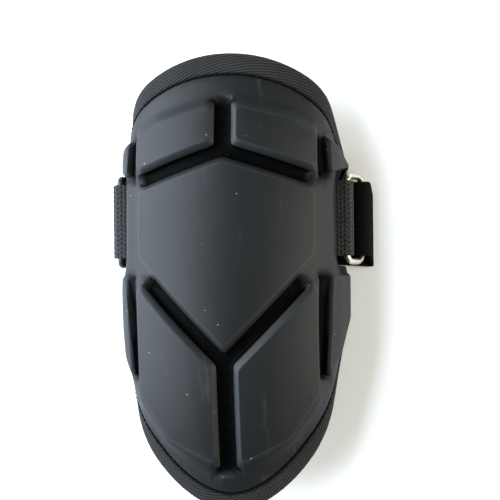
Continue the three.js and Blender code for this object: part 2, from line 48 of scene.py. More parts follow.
CROWN_RADIUS = 0.085
CROWN_TURN = math.radians(28)
SHOULDER_RADIUS = 0.022
WALL_TURN = math.radians(78)
UPPER_DROP = 0.0105
LOWER_DROP = 0.0187
UPPER_NARROWING = 0.03
LOWER_NARROWING = 0.07
SHELL_UPPER = 0.071
SHELL_LOWER = 0.135
SHELL_GIRTH = 0.081
SHELL_LIFT = 0.005
PAD_UPPER = SHELL_UPPER + 0.0125
PAD_LOWER = SHELL_LOWER + 0.009
NOTCH_GIRTH = 0.0617
NOTCH_UPPER = 0.0255
NOTCH_LOWER = 0.0228
NOTCH_CHAMFER = 0.0045
LINER_DEPTH = 0.0088
LINER_PROUD = 0.0012
SEAT = -0.0003
POCKET_DEPTH = 0.0044
POCKET_HALF = 0.0194
POCKET_GIRTH = 0.0435
LINER_GRID = 0.0042
LINER_CLEAR = 0.55 * LINER_GRID
ROW_SPACING = 0.87
EDGE_SPACING = 0.0018
CROWN_GIRTH = CROWN_RADIUS * CROWN_TURN
WALL_GIRTH = CROWN_GIRTH + SHOULDER_RADIUS * (WALL_TURN - CROWN_TURN)

# Edge lines from the middle of one end to the side: control points as shares of girth and length
SHELL_EDGE = {
    "upper": [(0, 1), (0.34, 1), (0.6, 0.81), (0.75, 0.57)],
    "lower": [(0.78, 0.55), (0.54, 0.78), (0.25, 1), (0, 1)],
    "upper_rim": 0.42, "lower_rim": 0.37,
}
LINER_EDGE = {
    "upper": [(0, 1), (0.31, 1), (0.61, 0.86), (0.88, 0.58)],
    "lower": [(0.85, 0.56), (0.61, 0.80), (0.30, 1.012), (0, 1.012)],
    "upper_rim": 0.42, "lower_rim": 0.39,
}

# How often an edge line is smoothed, and how many points each of its bends has
EDGE_PASSES = 2
BEND_POINTS = 24

# The liner's rounded side from the arm to the outside: how far in, and the height on the form
LINER_SIDE = [
    (0.0032, -LINER_DEPTH), (0.0016, -LINER_DEPTH + 0.0004), (0.0006, -LINER_DEPTH + 0.0014),
    (0.0001, -LINER_DEPTH + 0.003), (0.0, -0.0038), (0.0, -0.0022), (0.0003, -0.0009),
    (0.0009, 0.0001), (0.0019, 0.0008), (0.0034, LINER_PROUD),
]


def section_at(girth):
    """How far across and how far down the full-size section is at girths from the crown line."""
    reach = np.abs(girth)
    crown = np.minimum(reach, CROWN_GIRTH) / CROWN_RADIUS
    shoulder = (np.clip(reach, CROWN_GIRTH, WALL_GIRTH) - CROWN_GIRTH) / SHOULDER_RADIUS
    turn = CROWN_TURN + shoulder
    wall = np.maximum(0, reach - WALL_GIRTH)
    across = (CROWN_RADIUS * np.sin(crown) + wall * math.cos(WALL_TURN)
              + SHOULDER_RADIUS * (np.sin(turn) - math.sin(CROWN_TURN)))
    fall = (CROWN_RADIUS * (1 - np.cos(crown)) + wall * math.sin(WALL_TURN)
            + SHOULDER_RADIUS * (math.cos(CROWN_TURN) - np.cos(turn)))
    return np.sign(girth) * across, fall


def lengthwise(along):
    """How far the crown line drops, and the size of the section, at places along the guard."""
    upper = (along - CREST_ALONG) / (PAD_UPPER - CREST_ALONG)
    lower = (CREST_ALONG - along) / (PAD_LOWER + CREST_ALONG)
    drop = np.where(along > CREST_ALONG, UPPER_DROP * upper**2, LOWER_DROP * lower**2)
    narrowing = np.where(along > CREST_ALONG, UPPER_NARROWING * upper**2, LOWER_NARROWING * lower**2)
    return drop, 1 - narrowing


def form_points(girth, along):
    """Points on the curved form from girths and places along the guard."""
    drop, size = lengthwise(along)
    across, fall = section_at(girth / size)
    return np.stack([size * across, along, CREST_HEIGHT - drop - size * fall], axis=-1)


def on_form(flat):
    """Points on the curved form from rows of girth, place along, and rise above it."""
    girth, along, rise = np.asarray(flat, float).T
    step = 5e-5
    around = form_points(girth + step, along) - form_points(girth - step, along)
    onward = form_points(girth, along + step) - form_points(girth, along - step)
    normal = np.cross(around, onward)
    normal /= np.linalg.norm(normal, axis=1)[:, None]
    return form_points(girth, along) + rise[:, None] * normal


def table_girth(along):
    """Girth at which the form comes down to the table."""
    drop, size = lengthwise(along)
    left = CREST_HEIGHT - drop - size * section_at(WALL_GIRTH)[1]
    return float(size * WALL_GIRTH + left / math.sin(WALL_TURN))


def resampled(loop, spacing):
    """A closed loop with evenly spaced points."""
    loop = np.asarray(loop, float)
    closed = np.vstack([loop, loop[:1]])
    reach = np.concatenate([[0], np.cumsum(np.linalg.norm(np.diff(closed, axis=0), axis=1))])
    count = max(8, int(round(reach[-1] / spacing)))
    places = np.arange(count) * reach[-1] / count
    return np.stack([np.interp(places, reach, closed[:, k]) for k in range(closed.shape[1])], axis=1)


def edge_line(shape, upper_length, lower_length, beyond_table, spacing):
    """The smooth closed edge line of the shell or the liner in flat coordinates, anticlockwise."""
    def bend(shares, length):
        knots = [Vector((across * SHELL_GIRTH, along * length)) for across, along in shares]
        return [tuple(p) for p in geometry.interpolate_bezier(*knots, BEND_POINTS)]

    def rim(along):
        return table_girth(along) + beyond_table, along

    side = rim(0)[0]
    shoulder = NOTCH_GIRTH + NOTCH_CHAMFER
    notch = [(side, NOTCH_UPPER), (shoulder, NOTCH_UPPER), (NOTCH_GIRTH, NOTCH_UPPER - NOTCH_CHAMFER),
             (NOTCH_GIRTH, NOTCH_CHAMFER - NOTCH_LOWER), (shoulder, -NOTCH_LOWER), (side, -NOTCH_LOWER)]
    right = [*bend(shape["upper"], upper_length), rim(shape["upper_rim"] * upper_length), *notch,
             rim(-shape["lower_rim"] * lower_length), *bend(shape["lower"], -lower_length)]
    left = [(-x, y) for x, y in right[1:-1]]
    loop = resampled([*right[::-1], *left], spacing)
    for _ in range(EDGE_PASSES):
        loop = (np.roll(loop, 1, axis=0) + 2 * loop + np.roll(loop, -1, axis=0)) / 4
    return loop


def shell_outline(spacing):
    """The shell's edge line, which stays clear of the table."""
    return edge_line(SHELL_EDGE, SHELL_UPPER, SHELL_LOWER, -SHELL_LIFT, spacing)


def at_rise(loop, rise):
    """Rows of girth, place along and rise for flat points that all lie at one rise."""
    return np.column_stack([loop, np.full(len(loop), rise)])


def moved_in(loop, distance):
    """A smooth closed anticlockwise loop moved inwards along its own normals."""
    onward = np.roll(loop, -1, axis=0) - np.roll(loop, 1, axis=0)
    onward /= np.linalg.norm(onward, axis=1)[:, None]
    return loop + distance * np.stack([-onward[:, 1], onward[:, 0]], axis=1)


def distance_to(loop, points):
    """Distance from points to a closed loop, and how far along the loop the nearest place is."""
    start = loop
    edge = np.roll(loop, -1, axis=0) - start
    length = np.linalg.norm(edge, axis=1)
    reach = np.concatenate([[0], np.cumsum(length)[:-1]])
    offset = points[:, None, :] - start[None, :, :]
    share = np.clip((offset * edge).sum(axis=2) / length**2, 0, 1)
    gaps = np.linalg.norm(offset - share[:, :, None] * edge, axis=2)
    nearest = gaps.argmin(axis=1)
    rows = np.arange(len(points))
    return gaps[rows, nearest], reach[nearest] + share[rows, nearest] * length[nearest]


def inside(loop, points):
    """Which points lie inside a closed loop."""
    start = loop[None, :, :]
    end = np.roll(loop, -1, axis=0)[None, :, :]
    x, y = points[:, 0, None], points[:, 1, None]
    crosses = (start[..., 1] > y) != (end[..., 1] > y)
    rise = np.where(end[..., 1] == start[..., 1], 1, end[..., 1] - start[..., 1])
    at = start[..., 0] + (y - start[..., 1]) / rise * (end[..., 0] - start[..., 0])
    return (crosses & (x < at)).sum(axis=1) % 2 == 1


def runs(kept):
    """The unbroken runs of kept places round a closed loop, each as a list of their numbers."""
    count = len(kept)
    found = []
    for start in range(count):
        if kept[start] and not kept[start - 1]:
            length = 1
            while kept[(start + length) % count]:
                length += 1
            found.append([(start + k) % count for k in range(length)])
    return found


def grid_inside(loop, spacing, lines, clear):
    """Staggered points inside a loop that keep clear of it and of the lines."""
    low, high = loop.min(axis=0), loop.max(axis=0)
    rows = np.arange(low[1], high[1], spacing * ROW_SPACING)
    points = np.array([(x + (i % 2) * spacing / 2, y) for i, y in enumerate(rows)
                       for x in np.arange(low[0], high[0], spacing)])
    points = points[inside(loop, points)]
    taken = [corner for line in [loop, *lines] for corner in line]
    tree = kdtree.KDTree(len(taken))
    for i, (x, y) in enumerate(taken):
        tree.insert((x, y, 0), i)
    tree.balance()
    return np.array([p for p in points if tree.find((p[0], p[1], 0))[2] > clear])


def filled(boundary, lines, points):
    """Flat triangles inside a boundary, with edges along the lines and corners at the points."""
    corners = [*map(tuple, boundary)]
    edges = [(i, (i + 1) % len(boundary)) for i in range(len(boundary))]
    for line, closed in lines:
        first = len(corners)
        corners.extend(map(tuple, line))
        edges.extend((first + i, first + i + 1) for i in range(len(line) - 1))
        if closed:
            edges.append((first + len(line) - 1, first))
    corners.extend(map(tuple, points))
    found = geometry.delaunay_2d_cdt([Vector(c) for c in corners], edges, [], 1, 1e-7)
    places, _, faces, origins = found[:4]
    sources = [ids[0] if ids else -1 for ids in origins]
    return np.array([tuple(p) for p in places]), [tuple(f) for f in faces], sources


def placed(name, data):
    """A new object in the scene that holds a mesh, a curve, a light or a camera."""
    item = bpy.data.objects.new(name, data)
    bpy.context.scene.collection.objects.link(item)
    return item


def skirt(count, rows):
    """Faces between closed rows of corners that follow one another."""
    return [(k * count + i, k * count + (i + 1) % count, (k + 1) * count + (i + 1) % count,
             (k + 1) * count + i) for k in range(rows - 1) for i in range(count)]


def capped(faces, flat, sources, count, rim, first):
    """Adds the triangles of a cap, which share their outer corners with the rim of a skirt."""
    index = [rim + source if 0 <= source < count else first + i for i, source in enumerate(sources)]
    faces.extend(tuple(index[corner] for corner in face) for face in flat)


def in_use(faces):
    """Which corners the faces use, and the faces with only those corners counted."""
    used = sorted({corner for face in faces for corner in face})
    renumber = {old: new for new, old in enumerate(used)}
    return used, [tuple(renumber[corner] for corner in face) for face in faces]


def new_piece(name, points, faces, finish):
    """A closed smooth mesh object with its faces pointing out."""
    mesh = bpy.data.meshes.new(name)
    mesh.from_pydata([tuple(p) for p in points], [], faces)
    body = bmesh.new()
    body.from_mesh(mesh)
    bmesh.ops.recalc_face_normals(body, faces=body.faces)
    for face in body.faces:
        face.smooth = True
    body.to_mesh(mesh)
    body.free()
    mesh.materials.append(finish)
    return placed(name, mesh)


def add_values(piece, name, values):
    """A number for each corner point of a piece, which its finish reads by name."""
    attribute = piece.data.attributes.new(name, "FLOAT", "POINT")
    attribute.data.foreach_set("value", np.asarray(values, np.float32))


def add_weave(piece, along, across, wrap=None):
    """The cloth's own coordinates in metres, along and across its run, which wrap may close."""
    mesh = piece.data
    corners = np.zeros(len(mesh.loops), int)
    mesh.loops.foreach_get("vertex_index", corners)
    run = np.asarray(along, float)[corners]
    if wrap:
        first = np.zeros(len(mesh.polygons), int)
        sides = np.zeros(len(mesh.polygons), int)
        mesh.polygons.foreach_get("loop_start", first)
        mesh.polygons.foreach_get("loop_total", sides)
        start = np.repeat(run[first], sides)
        run = run - wrap * np.round((run - start) / wrap)
    layer = mesh.uv_layers.new(name="weave")
    woven = np.stack([run, np.asarray(across)[corners]], axis=1)
    layer.data.foreach_set("uv", woven.astype(np.float32).ravel())


def worked_out(piece):
    """A plain mesh of the piece with its modifiers worked out."""
    graph = bpy.context.evaluated_depsgraph_get()
    return bpy.data.meshes.new_from_object(piece.evaluated_get(graph))


def on_guard(piece, slot, *nodes):
    """Fixes a finished piece to the guard and hides the imported parts it stands for."""
    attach(piece, "root")
    if nodes:
        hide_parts(*nodes)


def tint(red, green, blue):
    """A colour from three numbers of 0 to 255, as a shader takes it."""
    linear = [c / 12.92 if c <= 0.04045 else ((c + 0.055) / 1.055) ** 2.4
              for c in (red / 255, green / 255, blue / 255)]
    return (*linear, 1.0)


class Wire:
    """One value in a finish. Arithmetic on it adds the nodes that work it out."""

    def __init__(self, finish, socket):
        self.finish = finish
        self.socket = socket

    def maths(self, operation, *values):
        return self.finish.node("Math", dict(enumerate(values)), operation=operation)

    def __add__(self, other):
        return self.maths("ADD", self, other)

    def __sub__(self, other):
        return self.maths("SUBTRACT", self, other)

    def __rsub__(self, other):
        return self.maths("SUBTRACT", other, self)

    def __mul__(self, other):
        return self.maths("MULTIPLY", self, other)

    def __truediv__(self, other):
        return self.maths("DIVIDE", self, other)

    def __gt__(self, other):
        return self.maths("GREATER_THAN", self, other)

    def wave(self, period):
        """A smooth wave from 0 to 1 with that period."""
        return self.maths("SINE", self * (2 * math.pi / period)) * 0.5 + 0.5

    def share(self, low, high):
        """Goes from 0 to 1 between two values."""
        return self.finish.node("MapRange", {0: self, 1: low, 2: high}, interpolation_type="SMOOTHSTEP")

    def floor(self):
        return self.maths("FLOOR", self)

    __radd__ = __add__
    __rmul__ = __mul__


class Finish:
    """A material, and one way to add any node to it."""

    def __init__(self, name, roughness=0.5, **fixed):
        self.material = bpy.data.materials.new(name)
        self.material.use_nodes = True
        self.tree = self.material.node_tree
        self.shader = self.tree.nodes["Principled BSDF"]
        self.shader.inputs["Roughness"].default_value = roughness
        for key, value in fixed.items():
            self.shader.inputs[key.replace("_", " ")].default_value = value

    def put(self, socket, value):
        if isinstance(value, Wire):
            self.tree.links.new(value.socket, socket)
        else:
            socket.default_value = value

    def node(self, kind, inputs=None, output=0, **settings):
        node = self.tree.nodes.new("ShaderNode" + kind)
        for key, value in settings.items():
            setattr(node, key, value)
        for key, value in (inputs or {}).items():
            self.put(node.inputs[key], value)
        return Wire(self, node.outputs[output])

    def place(self):
        return self.node("TexCoord", output="Object")

    def value(self, name):
        return self.node("Attribute", output="Fac", attribute_name=name)

    def noise(self, scale, detail=2, where=None, rough=0.5):
        inputs = {"Vector": where or self.place(), "Scale": scale, "Detail": detail, "Roughness": rough}
        return self.node("TexNoise", inputs)

    def mix(self, share, first, second):
        return self.node("Mix", {0: share, 6: first, 7: second}, output=2, data_type="RGBA")

    def bump(self, height, depth, strength=1.0):
        return self.node("Bump", {"Height": height, "Distance": depth, "Strength": strength})

    def matt(self, colour):
        """A second shader that shows no highlight."""
        return self.node("BsdfDiffuse", {"Color": colour})

    def blended(self, share, second):
        """The material with a second shader mixed over its own by a share."""
        own = Wire(self, self.shader.outputs[0])
        mixed = self.node("MixShader", {0: share, 1: own, 2: second})
        self.put(self.tree.nodes["Material Output"].inputs["Surface"], mixed)
        return self.material

    def show(self, **links):
        for key, value in links.items():
            self.put(self.shader.inputs[key.replace("_", " ")], value)
        return self.material


def split(finish, vector):
    """The two or three numbers of a vector."""
    return [finish.node("SeparateXYZ", {0: vector}, output=k) for k in range(3)]


TWILL_PITCH = 0.0014
TWILL_DASH = 0.0026
TWILL_LEAN = math.radians(12)
KNIT_WALE = 0.0014
KNIT_COURSE = 0.0012


def twill():
    """Fine diagonal ribs with broken dark lines between them, and a plain knit on the arm's side. Next to
    the shell's edge the cloth is painted dark as shade in the crease.
    """
    cloth = Finish("liner_twill", roughness=0.92, Specular_IOR_Level=0.25)
    run, out, _ = split(cloth, cloth.node("UVMap", uv_map="weave"))
    border = cloth.value("border")
    lean = out * math.cos(TWILL_LEAN) - run * math.sin(TWILL_LEAN)
    drawn = run * math.cos(TWILL_LEAN) + out * math.sin(TWILL_LEAN)
    rib = lean.wave(TWILL_PITCH)
    row = (lean / TWILL_PITCH).floor()
    dash = (drawn + row * (0.5 * TWILL_DASH)).wave(TWILL_DASH)
    thread = rib * (0.6 + 0.4 * dash)
    x, y, z = split(cloth, cloth.place())
    knit = x.wave(KNIT_WALE) * (y + z).wave(KNIT_COURSE)
    height = thread * border + knit * (1 - border) * 0.6
    patchy = cloth.noise(60, 3)
    dark = cloth.mix(patchy, tint(5, 5, 5), tint(12, 12, 12))
    light = cloth.mix(patchy, tint(43, 42, 41), tint(63, 62, 60))
    colour = cloth.mix(height * 0.9 + 0.05, dark, light)
    # Painted shade: next to the shell's edge the cloth is mixed towards near black, by the seam value
    sewn = cloth.mix(cloth.value("seam"), colour, tint(3, 3, 3))
    return cloth.show(Base_Color=sewn, Normal=cloth.bump(height, 0.0004))


# Lines on the border beside the shell's edge: how far out, and how clear of the liner's edge
SEAM_LINES = (0.0002, 0.0009, 0.0020)
SEAM_CLEAR = 0.0012
SEAM_POINTS = 2
# The cloth rises from its seat under the shell to its full height over this width
SEAT_START = 0.0002
SEAT_WIDTH = 0.0018
# The strip beside the shell where the cloth is painted dark as shade in the crease, and how soon that
# painted shade ends
SHADE_REACH = 0.0018
SHADE_FADE = 0.0010
# Where the weave turns from the border's top to its side, and where the knit begins
TWILL_TURN = 0.0022
KNIT_EDGE = 0.0006
# The cloth is held this far from the shell and down to this depth, and swells under pressure
HELD_REACH = 0.0022
HELD_DEPTH = 0.0075
SWELL_LIMIT = 0.0016
SWELL_PRESSURE = 4
SWELL_FRAMES = 20
CLOTH_QUALITY = 6


def seam_lines(shell_line, inner):
    """Lines on the border beside the shell, broken where they would leave the liner."""
    found = []
    for growth in SEAM_LINES:
        line = moved_in(shell_line, -growth)
        gap, _ = distance_to(inner, line)
        kept = (gap > SEAM_CLEAR) & inside(inner, line)
        parts = runs(kept)
        found.extend((line[part], False) for part in parts if len(part) > SEAM_POINTS)
        if not parts:
            found.append((line, True))
    return found


def swell(piece, sewn):
    """Lets the cloth swell a little between the places where it is sewn."""
    rest = np.array([v.co for v in piece.data.vertices])
    held = piece.vertex_groups.new(name="sewn")
    held.add([int(i) for i in np.flatnonzero(sewn)], 1.0, "REPLACE")
    cloth = piece.modifiers.new("swell", "CLOTH")
    cloth.settings.vertex_group_mass = "sewn"
    cloth.settings.quality = CLOTH_QUALITY
    cloth.settings.use_pressure = True
    cloth.settings.uniform_pressure_force = SWELL_PRESSURE
    cloth.settings.effector_weights.gravity = 0
    for number in range(1, SWELL_FRAMES + 1):
        bpy.context.scene.frame_set(number)
    shape = piece.evaluated_get(bpy.context.evaluated_depsgraph_get()).data
    move = np.array([v.co for v in shape.vertices]) - rest
    piece.modifiers.clear()
    reach = np.linalg.norm(move, axis=1)[:, None]
    rest = rest + move * np.minimum(1, SWELL_LIMIT / np.maximum(reach, 1e-9))
    bpy.context.scene.frame_set(1)
    piece.data.vertices.foreach_set("co", rest.astype(np.float32).ravel())


def liner_piece():
    """The liner's closed skin, swollen by a cloth simulation that holds it where it is sewn."""
    shell_line = shell_outline(EDGE_SPACING)
    edge = edge_line(LINER_EDGE, PAD_UPPER, PAD_LOWER, LINER_PROUD, EDGE_SPACING)
    loops = [moved_in(edge, back) for back, _ in LINER_SIDE]
    count = len(edge)
    points = [at_rise(loop, rise) for loop, (_, rise) in zip(loops, LINER_SIDE)]
    faces = skirt(count, len(loops))
    seams = seam_lines(shell_line, loops[-1])
    for cap, lines, rise in ((0, [], -LINER_DEPTH), (len(loops) - 1, seams, LINER_PROUD)):
        grid = grid_inside(loops[cap], LINER_GRID, [line for line, _ in lines], LINER_CLEAR)
        places, flat, sources = filled(loops[cap], lines, grid)
        capped(faces, flat, sources, count, cap * count, sum(len(row) for row in points))
        points.append(at_rise(places, rise))
    used, faces = in_use(faces)
    flat = np.vstack(points)[used]

    gap, _ = distance_to(shell_line, flat[:, :2])
    outside = np.where(inside(shell_line, flat[:, :2]), -gap, gap)
    ease = np.clip((outside - SEAT_START) / SEAT_WIDTH, 0, 1)
    seat = SEAT + (LINER_PROUD - SEAT) * ease * (2 - ease)
    girth = np.abs(flat[:, 0])
    in_pocket = ((np.abs(flat[:, 1]) < POCKET_HALF) & (girth > POCKET_GIRTH)
                 & (girth < NOTCH_GIRTH + NOTCH_CHAMFER))
    flat[:, 2] = np.minimum(flat[:, 2], np.where(in_pocket, -POCKET_DEPTH, seat))

    piece = new_piece("liner_pad", on_form(flat), faces, twill())
    depth, run = distance_to(edge, flat[:, :2])
    length = np.linalg.norm(np.roll(edge, -1, axis=0) - edge, axis=1).sum()
    out = np.where(flat[:, 2] < -TWILL_TURN, depth - flat[:, 2], -depth)
    add_weave(piece, -run, out, wrap=length)
    add_values(piece, "border", np.where(flat[:, 2] > KNIT_EDGE - LINER_DEPTH, 1.0, 0.0))
    # The seam value is painted shade in the crease where the cloth meets the shell's edge
    add_values(piece, "seam", np.clip((SHADE_REACH - outside) / SHADE_FADE, 0, 1))
    swell(piece, (outside < HELD_REACH) & (flat[:, 2] > -HELD_DEPTH))
    smooth = piece.modifiers.new("smooth", "SUBSURF")
    smooth.levels = 1
    smooth.render_levels = 1
    shape = worked_out(piece)
    piece.modifiers.clear()
    piece.data = shape
    for vertex in shape.vertices:
        vertex.co.z = max(vertex.co.z, 0.0)
    return piece


liner = liner_piece()
on_guard(liner, "liner_twill", "liner")

# Shell
# One moulding of tough black foam rubber. Nine raised panels stand on a thin flange, parted by
# deep grooves, and the flange is sewn to the liner all round.
FLANGE = 0.002
GROOVE_FLOOR = 0.0010
PANEL_TOP = 0.0055
PILLOW = 0.0004
PILLOW_REACH = 0.012
PANEL_CORNER = 0.0018
CORNER_LIMIT = 0.4
STRAIGHT_TURN = 0.02
GROOVE_HALF = 0.0026
MIDDLE_HALF = 0.0033
SIDE_HALF = 0.0007
LOOP_SPACING = 0.0016
SHELL_GRID = 0.0032
SHELL_CLEAR = 0.5 * SHELL_GRID
UNDER_GRID = 2 * SHELL_GRID

# Shares of the rise at the levels of a panel's side, from its foot to its top
SIDE_LEVELS = (0.0, 0.06, 0.58, 0.66, 0.965, 0.992, 1.0)
# How strongly a painted highlight shows at each level, along the top edge
EDGE_HIGHLIGHT_LEVELS = (0.0, 0.0, 0.0, 0.0, 0.7, 1.0, 0.0)
# How far in each level lies, for each kind of side
SIDES = {
    "wall": (0, 0.0002, 0.0006, 0.0008, 0.0035, 0.0037, 0.0042),
    "narrow": (0, 0.0002, 0.0006, 0.0008, 0.0028, 0.0030, 0.0035),
    "broad": (0, 0.0002, 0.0006, 0.0008, 0.0030, 0.0032, 0.0038),
    "seam": (0, 0.0002, 0.0009, 0.0011, 0.0016, 0.0018, 0.0024),
    "soft": (-0.0022, 0.0004, 0.0030, 0.0034, 0.0054, 0.0056, 0.0061),
    "brow": (0, 0.0004, 0.0013, 0.0015, 0.0022, 0.0024, 0.0030),
}
# Corners as shares of the shell's girth and of its upper or lower length, how far the edge to the
# next corner stands back from that line, and the kind of side along it
CENTRE_PANEL = [
    (0, 0.473, GROOVE_HALF, "broad"), (-0.556, 0.264, 0, "brow"), (-0.556, -0.167, GROOVE_HALF, "broad"),
    (0, -0.518, GROOVE_HALF, "broad"), (0.556, -0.167, 0, "brow"), (0.556, 0.264, GROOVE_HALF, "broad"),
]
UPPER_PANEL = [
    (0, 0.473, GROOVE_HALF, "wall"), (0.574, 0.257, SIDE_HALF, "seam"), (0.574, 0.64, 0, "soft"),
    (0.426, 0.746, 0, "soft"), (0, 0.87, MIDDLE_HALF, "narrow"),
]
LOWER_PANEL = [
    (0, -0.518, MIDDLE_HALF, "narrow"), (0, -0.943, 0, "soft"), (0.405, -0.824, 0, "soft"),
    (0.574, -0.674, SIDE_HALF, "seam"), (0.574, -0.16, GROOVE_HALF, "wall"),
]
UPPER_WING = [
    (0.625, 0.31, 0, "seam"), (0.79, 0.345, 0, "seam"), (0.945, 0.36, 0, "brow"),
    (0.945, 0.415, 0, "brow"), (0.60, 0.60, SIDE_HALF, "seam"),
]
LOWER_WING = [
    (0.576, -0.60, 0, "brow"), (0.78, -0.475, 0, "brow"), (0.955, -0.37, 0, "brow"),
    (0.955, -0.19, 0, "seam"), (0.635, -0.20, SIDE_HALF, "seam"),
]
# Grooves: both ends as shares like those of the panels, and half the width that is sunk
GROOVES = [
    ((0, 0.473), (0, 0.85), 0.0060), ((0, -0.518), (0, -0.938), 0.0056),
    ((0, 0.473), (0.530, 0.274), 0.0060), ((0, -0.518), (0.478, -0.216), 0.0060),
    ((0.598, 0.335), (0.576, 0.60), 0.0026), ((0.60, -0.23), (0.576, -0.59), 0.0026),
]
GROOVE_END = 0.0035
GROOVE_FADE = 0.0015
# How strongly the sunk groove floors are painted near black as shade
GROOVE_SHADE_STRENGTH = 0.93
# Painted shade: a groove is painted black from this share of its depth on, over this further share
GROOVE_SHADE_START = 0.34
GROOVE_SHADE_FADE = 0.08
WALL_STEP = 0.0003
WALL_RAMP = 0.013
# The ground sinks towards the flange at the upper end, over these shares of the upper length
SINK_START = 0.30
SINK_WIDTH = 0.3
SINK_SHARE = 0.75
# The moulded edge of the flange from the liner to the outside: how far in, and the rise
SHELL_SIDE = [(0.0003, 0.0), (0.0, 0.0004), (0.0, 0.0012), (0.0003, 0.0017), (0.0009, FLANGE)]


def shell_place(across, along):
    """A place on the flat shell from shares of its girth and of its upper or lower length."""
    return across * SHELL_GIRTH, along * (SHELL_UPPER if along > 0 else SHELL_LOWER)


def set_back(loop, backs):
    """A sharp-cornered loop with each edge moved inwards by its own distance."""
    loop = np.asarray(loop, float)
    edge = np.roll(loop, -1, axis=0) - loop
    inward = np.stack([-edge[:, 1], edge[:, 0]], axis=1) / np.linalg.norm(edge, axis=1)[:, None]
    found = []
    for i, point in enumerate(loop):
        before, after = inward[i - 1], inward[i]
        turn = before[0] * after[1] - before[1] * after[0]
        first, second = backs[i - 1], backs[i]
        if abs(turn) < STRAIGHT_TURN:
            middle = (before + after) / np.linalg.norm(before + after)
            found.append(point + middle * (first + second) / 2)
        else:
            found.append(point + np.array([first * after[1] - second * before[1],
                                           second * before[0] - first * after[0]]) / turn)
    return np.array(found)


def softened(loop, radius, pieces):
    """A loop with each corner rounded by a short curve."""
    found = []
    for i, corner in enumerate(loop):
        before, after = loop[i - 1] - corner, loop[(i + 1) % len(loop)] - corner
        start = corner + before * min(CORNER_LIMIT, radius / np.linalg.norm(before))
        end = corner + after * min(CORNER_LIMIT, radius / np.linalg.norm(after))
        for t in np.linspace(0, 1, pieces + 1):
            found.append((1 - t) ** 2 * start + 2 * t * (1 - t) * corner + t**2 * end)
    return np.array(found)


def panel_loops(rows, side):
    """The loops of a raised panel at its levels, from its foot to its top, on one side of the shell."""
    corners = [shell_place(side * across, along) for across, along, _, _ in rows]
    edges = [(back, SIDES[kind]) for _, _, back, kind in rows]
    if side < 0:
        corners.reverse()
        edges = edges[::-1][1:] + edges[::-1][:1]
    loops = []
    for level in range(len(SIDE_LEVELS)):
        sharp = set_back(corners, [back + widths[level] for back, widths in edges])
        loops.append(resampled(softened(sharp, PANEL_CORNER, pieces=6), LOOP_SPACING))
    return loops


def eased(value):
    """Goes gently from 0 to 1 as the value does."""
    share = np.clip(value, 0, 1)
    return share * share * (3 - 2 * share)


def sunk_share(flat):
    """How far places are sunk in a groove, from 0 to 1: each groove is a run that ends in a ramp."""
    found = np.zeros(len(flat))
    for start, end, half in GROOVES:
        start, end = np.array(shell_place(*start)), np.array(shell_place(*end))
        length = np.linalg.norm(end - start)
        onward = (end - start) / length
        offset = np.column_stack([np.abs(flat[:, 0]), flat[:, 1]]) - start
        run = offset @ onward
        aside = np.abs(offset @ np.array([-onward[1], onward[0]]))
        ends = eased((length - run) / GROOVE_END) * eased(1 + (run + half) / GROOVE_END)
        found = np.maximum(found, ends * eased((half + GROOVE_FADE - aside) / GROOVE_FADE))
    return found


def ground_rise(flat, edge):
    """Height between the panels: the groove floors, and walls that slope down to the thin edge."""
    gap, _ = distance_to(edge, flat)
    upper_end = eased((flat[:, 1] - SINK_START * SHELL_UPPER) / (SINK_WIDTH * SHELL_UPPER))
    slope = eased(gap / WALL_RAMP) * (1 - SINK_SHARE * upper_end)
    wall = FLANGE + (PANEL_TOP - WALL_STEP - FLANGE) * slope
    return wall + (GROOVE_FLOOR - wall) * sunk_share(flat)


def rubber():
    """Tough matte rubber: a fine moulded grain, soft blotches, faint scuffs and a little dust, with
    painted shade in the grooves and a painted highlight along the panels' top edges.
    """
    skin = Finish("shell_rubber", Specular_IOR_Level=0.25)
    # The depth value marks painted shade in the grooves, and the edge value marks a painted highlight
    # along the panels' top edges
    depth = skin.value("depth")
    edge_highlight = skin.value("edge")
    cloud = skin.noise(14, 4)
    turned = {"Vector": skin.place(), "Rotation": (0, 0, 0.35), "Scale": (70, 14, 40)}
    streaks = skin.node("Mapping", turned)
    scuff = skin.noise(1, 4, where=streaks, rough=0.7).share(0.60, 0.74)
    fine = skin.noise(900, 3, rough=0.6)
    grain = skin.noise(3200, 2)
    spot = skin.node("TexVoronoi", {"Vector": skin.place(), "Scale": 170}, output="Distance")
    lucky = skin.noise(240, 0)
    dust = (0.062 - spot).share(0, 0.02) * (lucky > 0.57)
    base = skin.mix(cloud, tint(11, 13, 13), tint(20, 22, 22))
    # Painted highlight: a thin bluish-grey line along the panels' top edges
    with_edge_highlight = skin.mix(edge_highlight * 0.2, base, tint(70, 74, 80))
    scuffed = skin.mix(scuff * 0.2, with_edge_highlight, tint(74, 76, 78))
    colour = skin.mix(dust * 0.7, scuffed, tint(170, 172, 170))
    rough = 0.42 + cloud * 0.10 + fine * 0.06 + scuff * 0.08
    height = fine * 0.5 + grain * 0.5
    skin.show(Base_Color=colour, Roughness=rough, Normal=skin.bump(height, 0.00006))
    # Painted shade: the groove floors are mixed towards a matt near-black
    return skin.blended(depth * GROOVE_SHADE_STRENGTH, skin.matt(tint(3, 3, 3)))


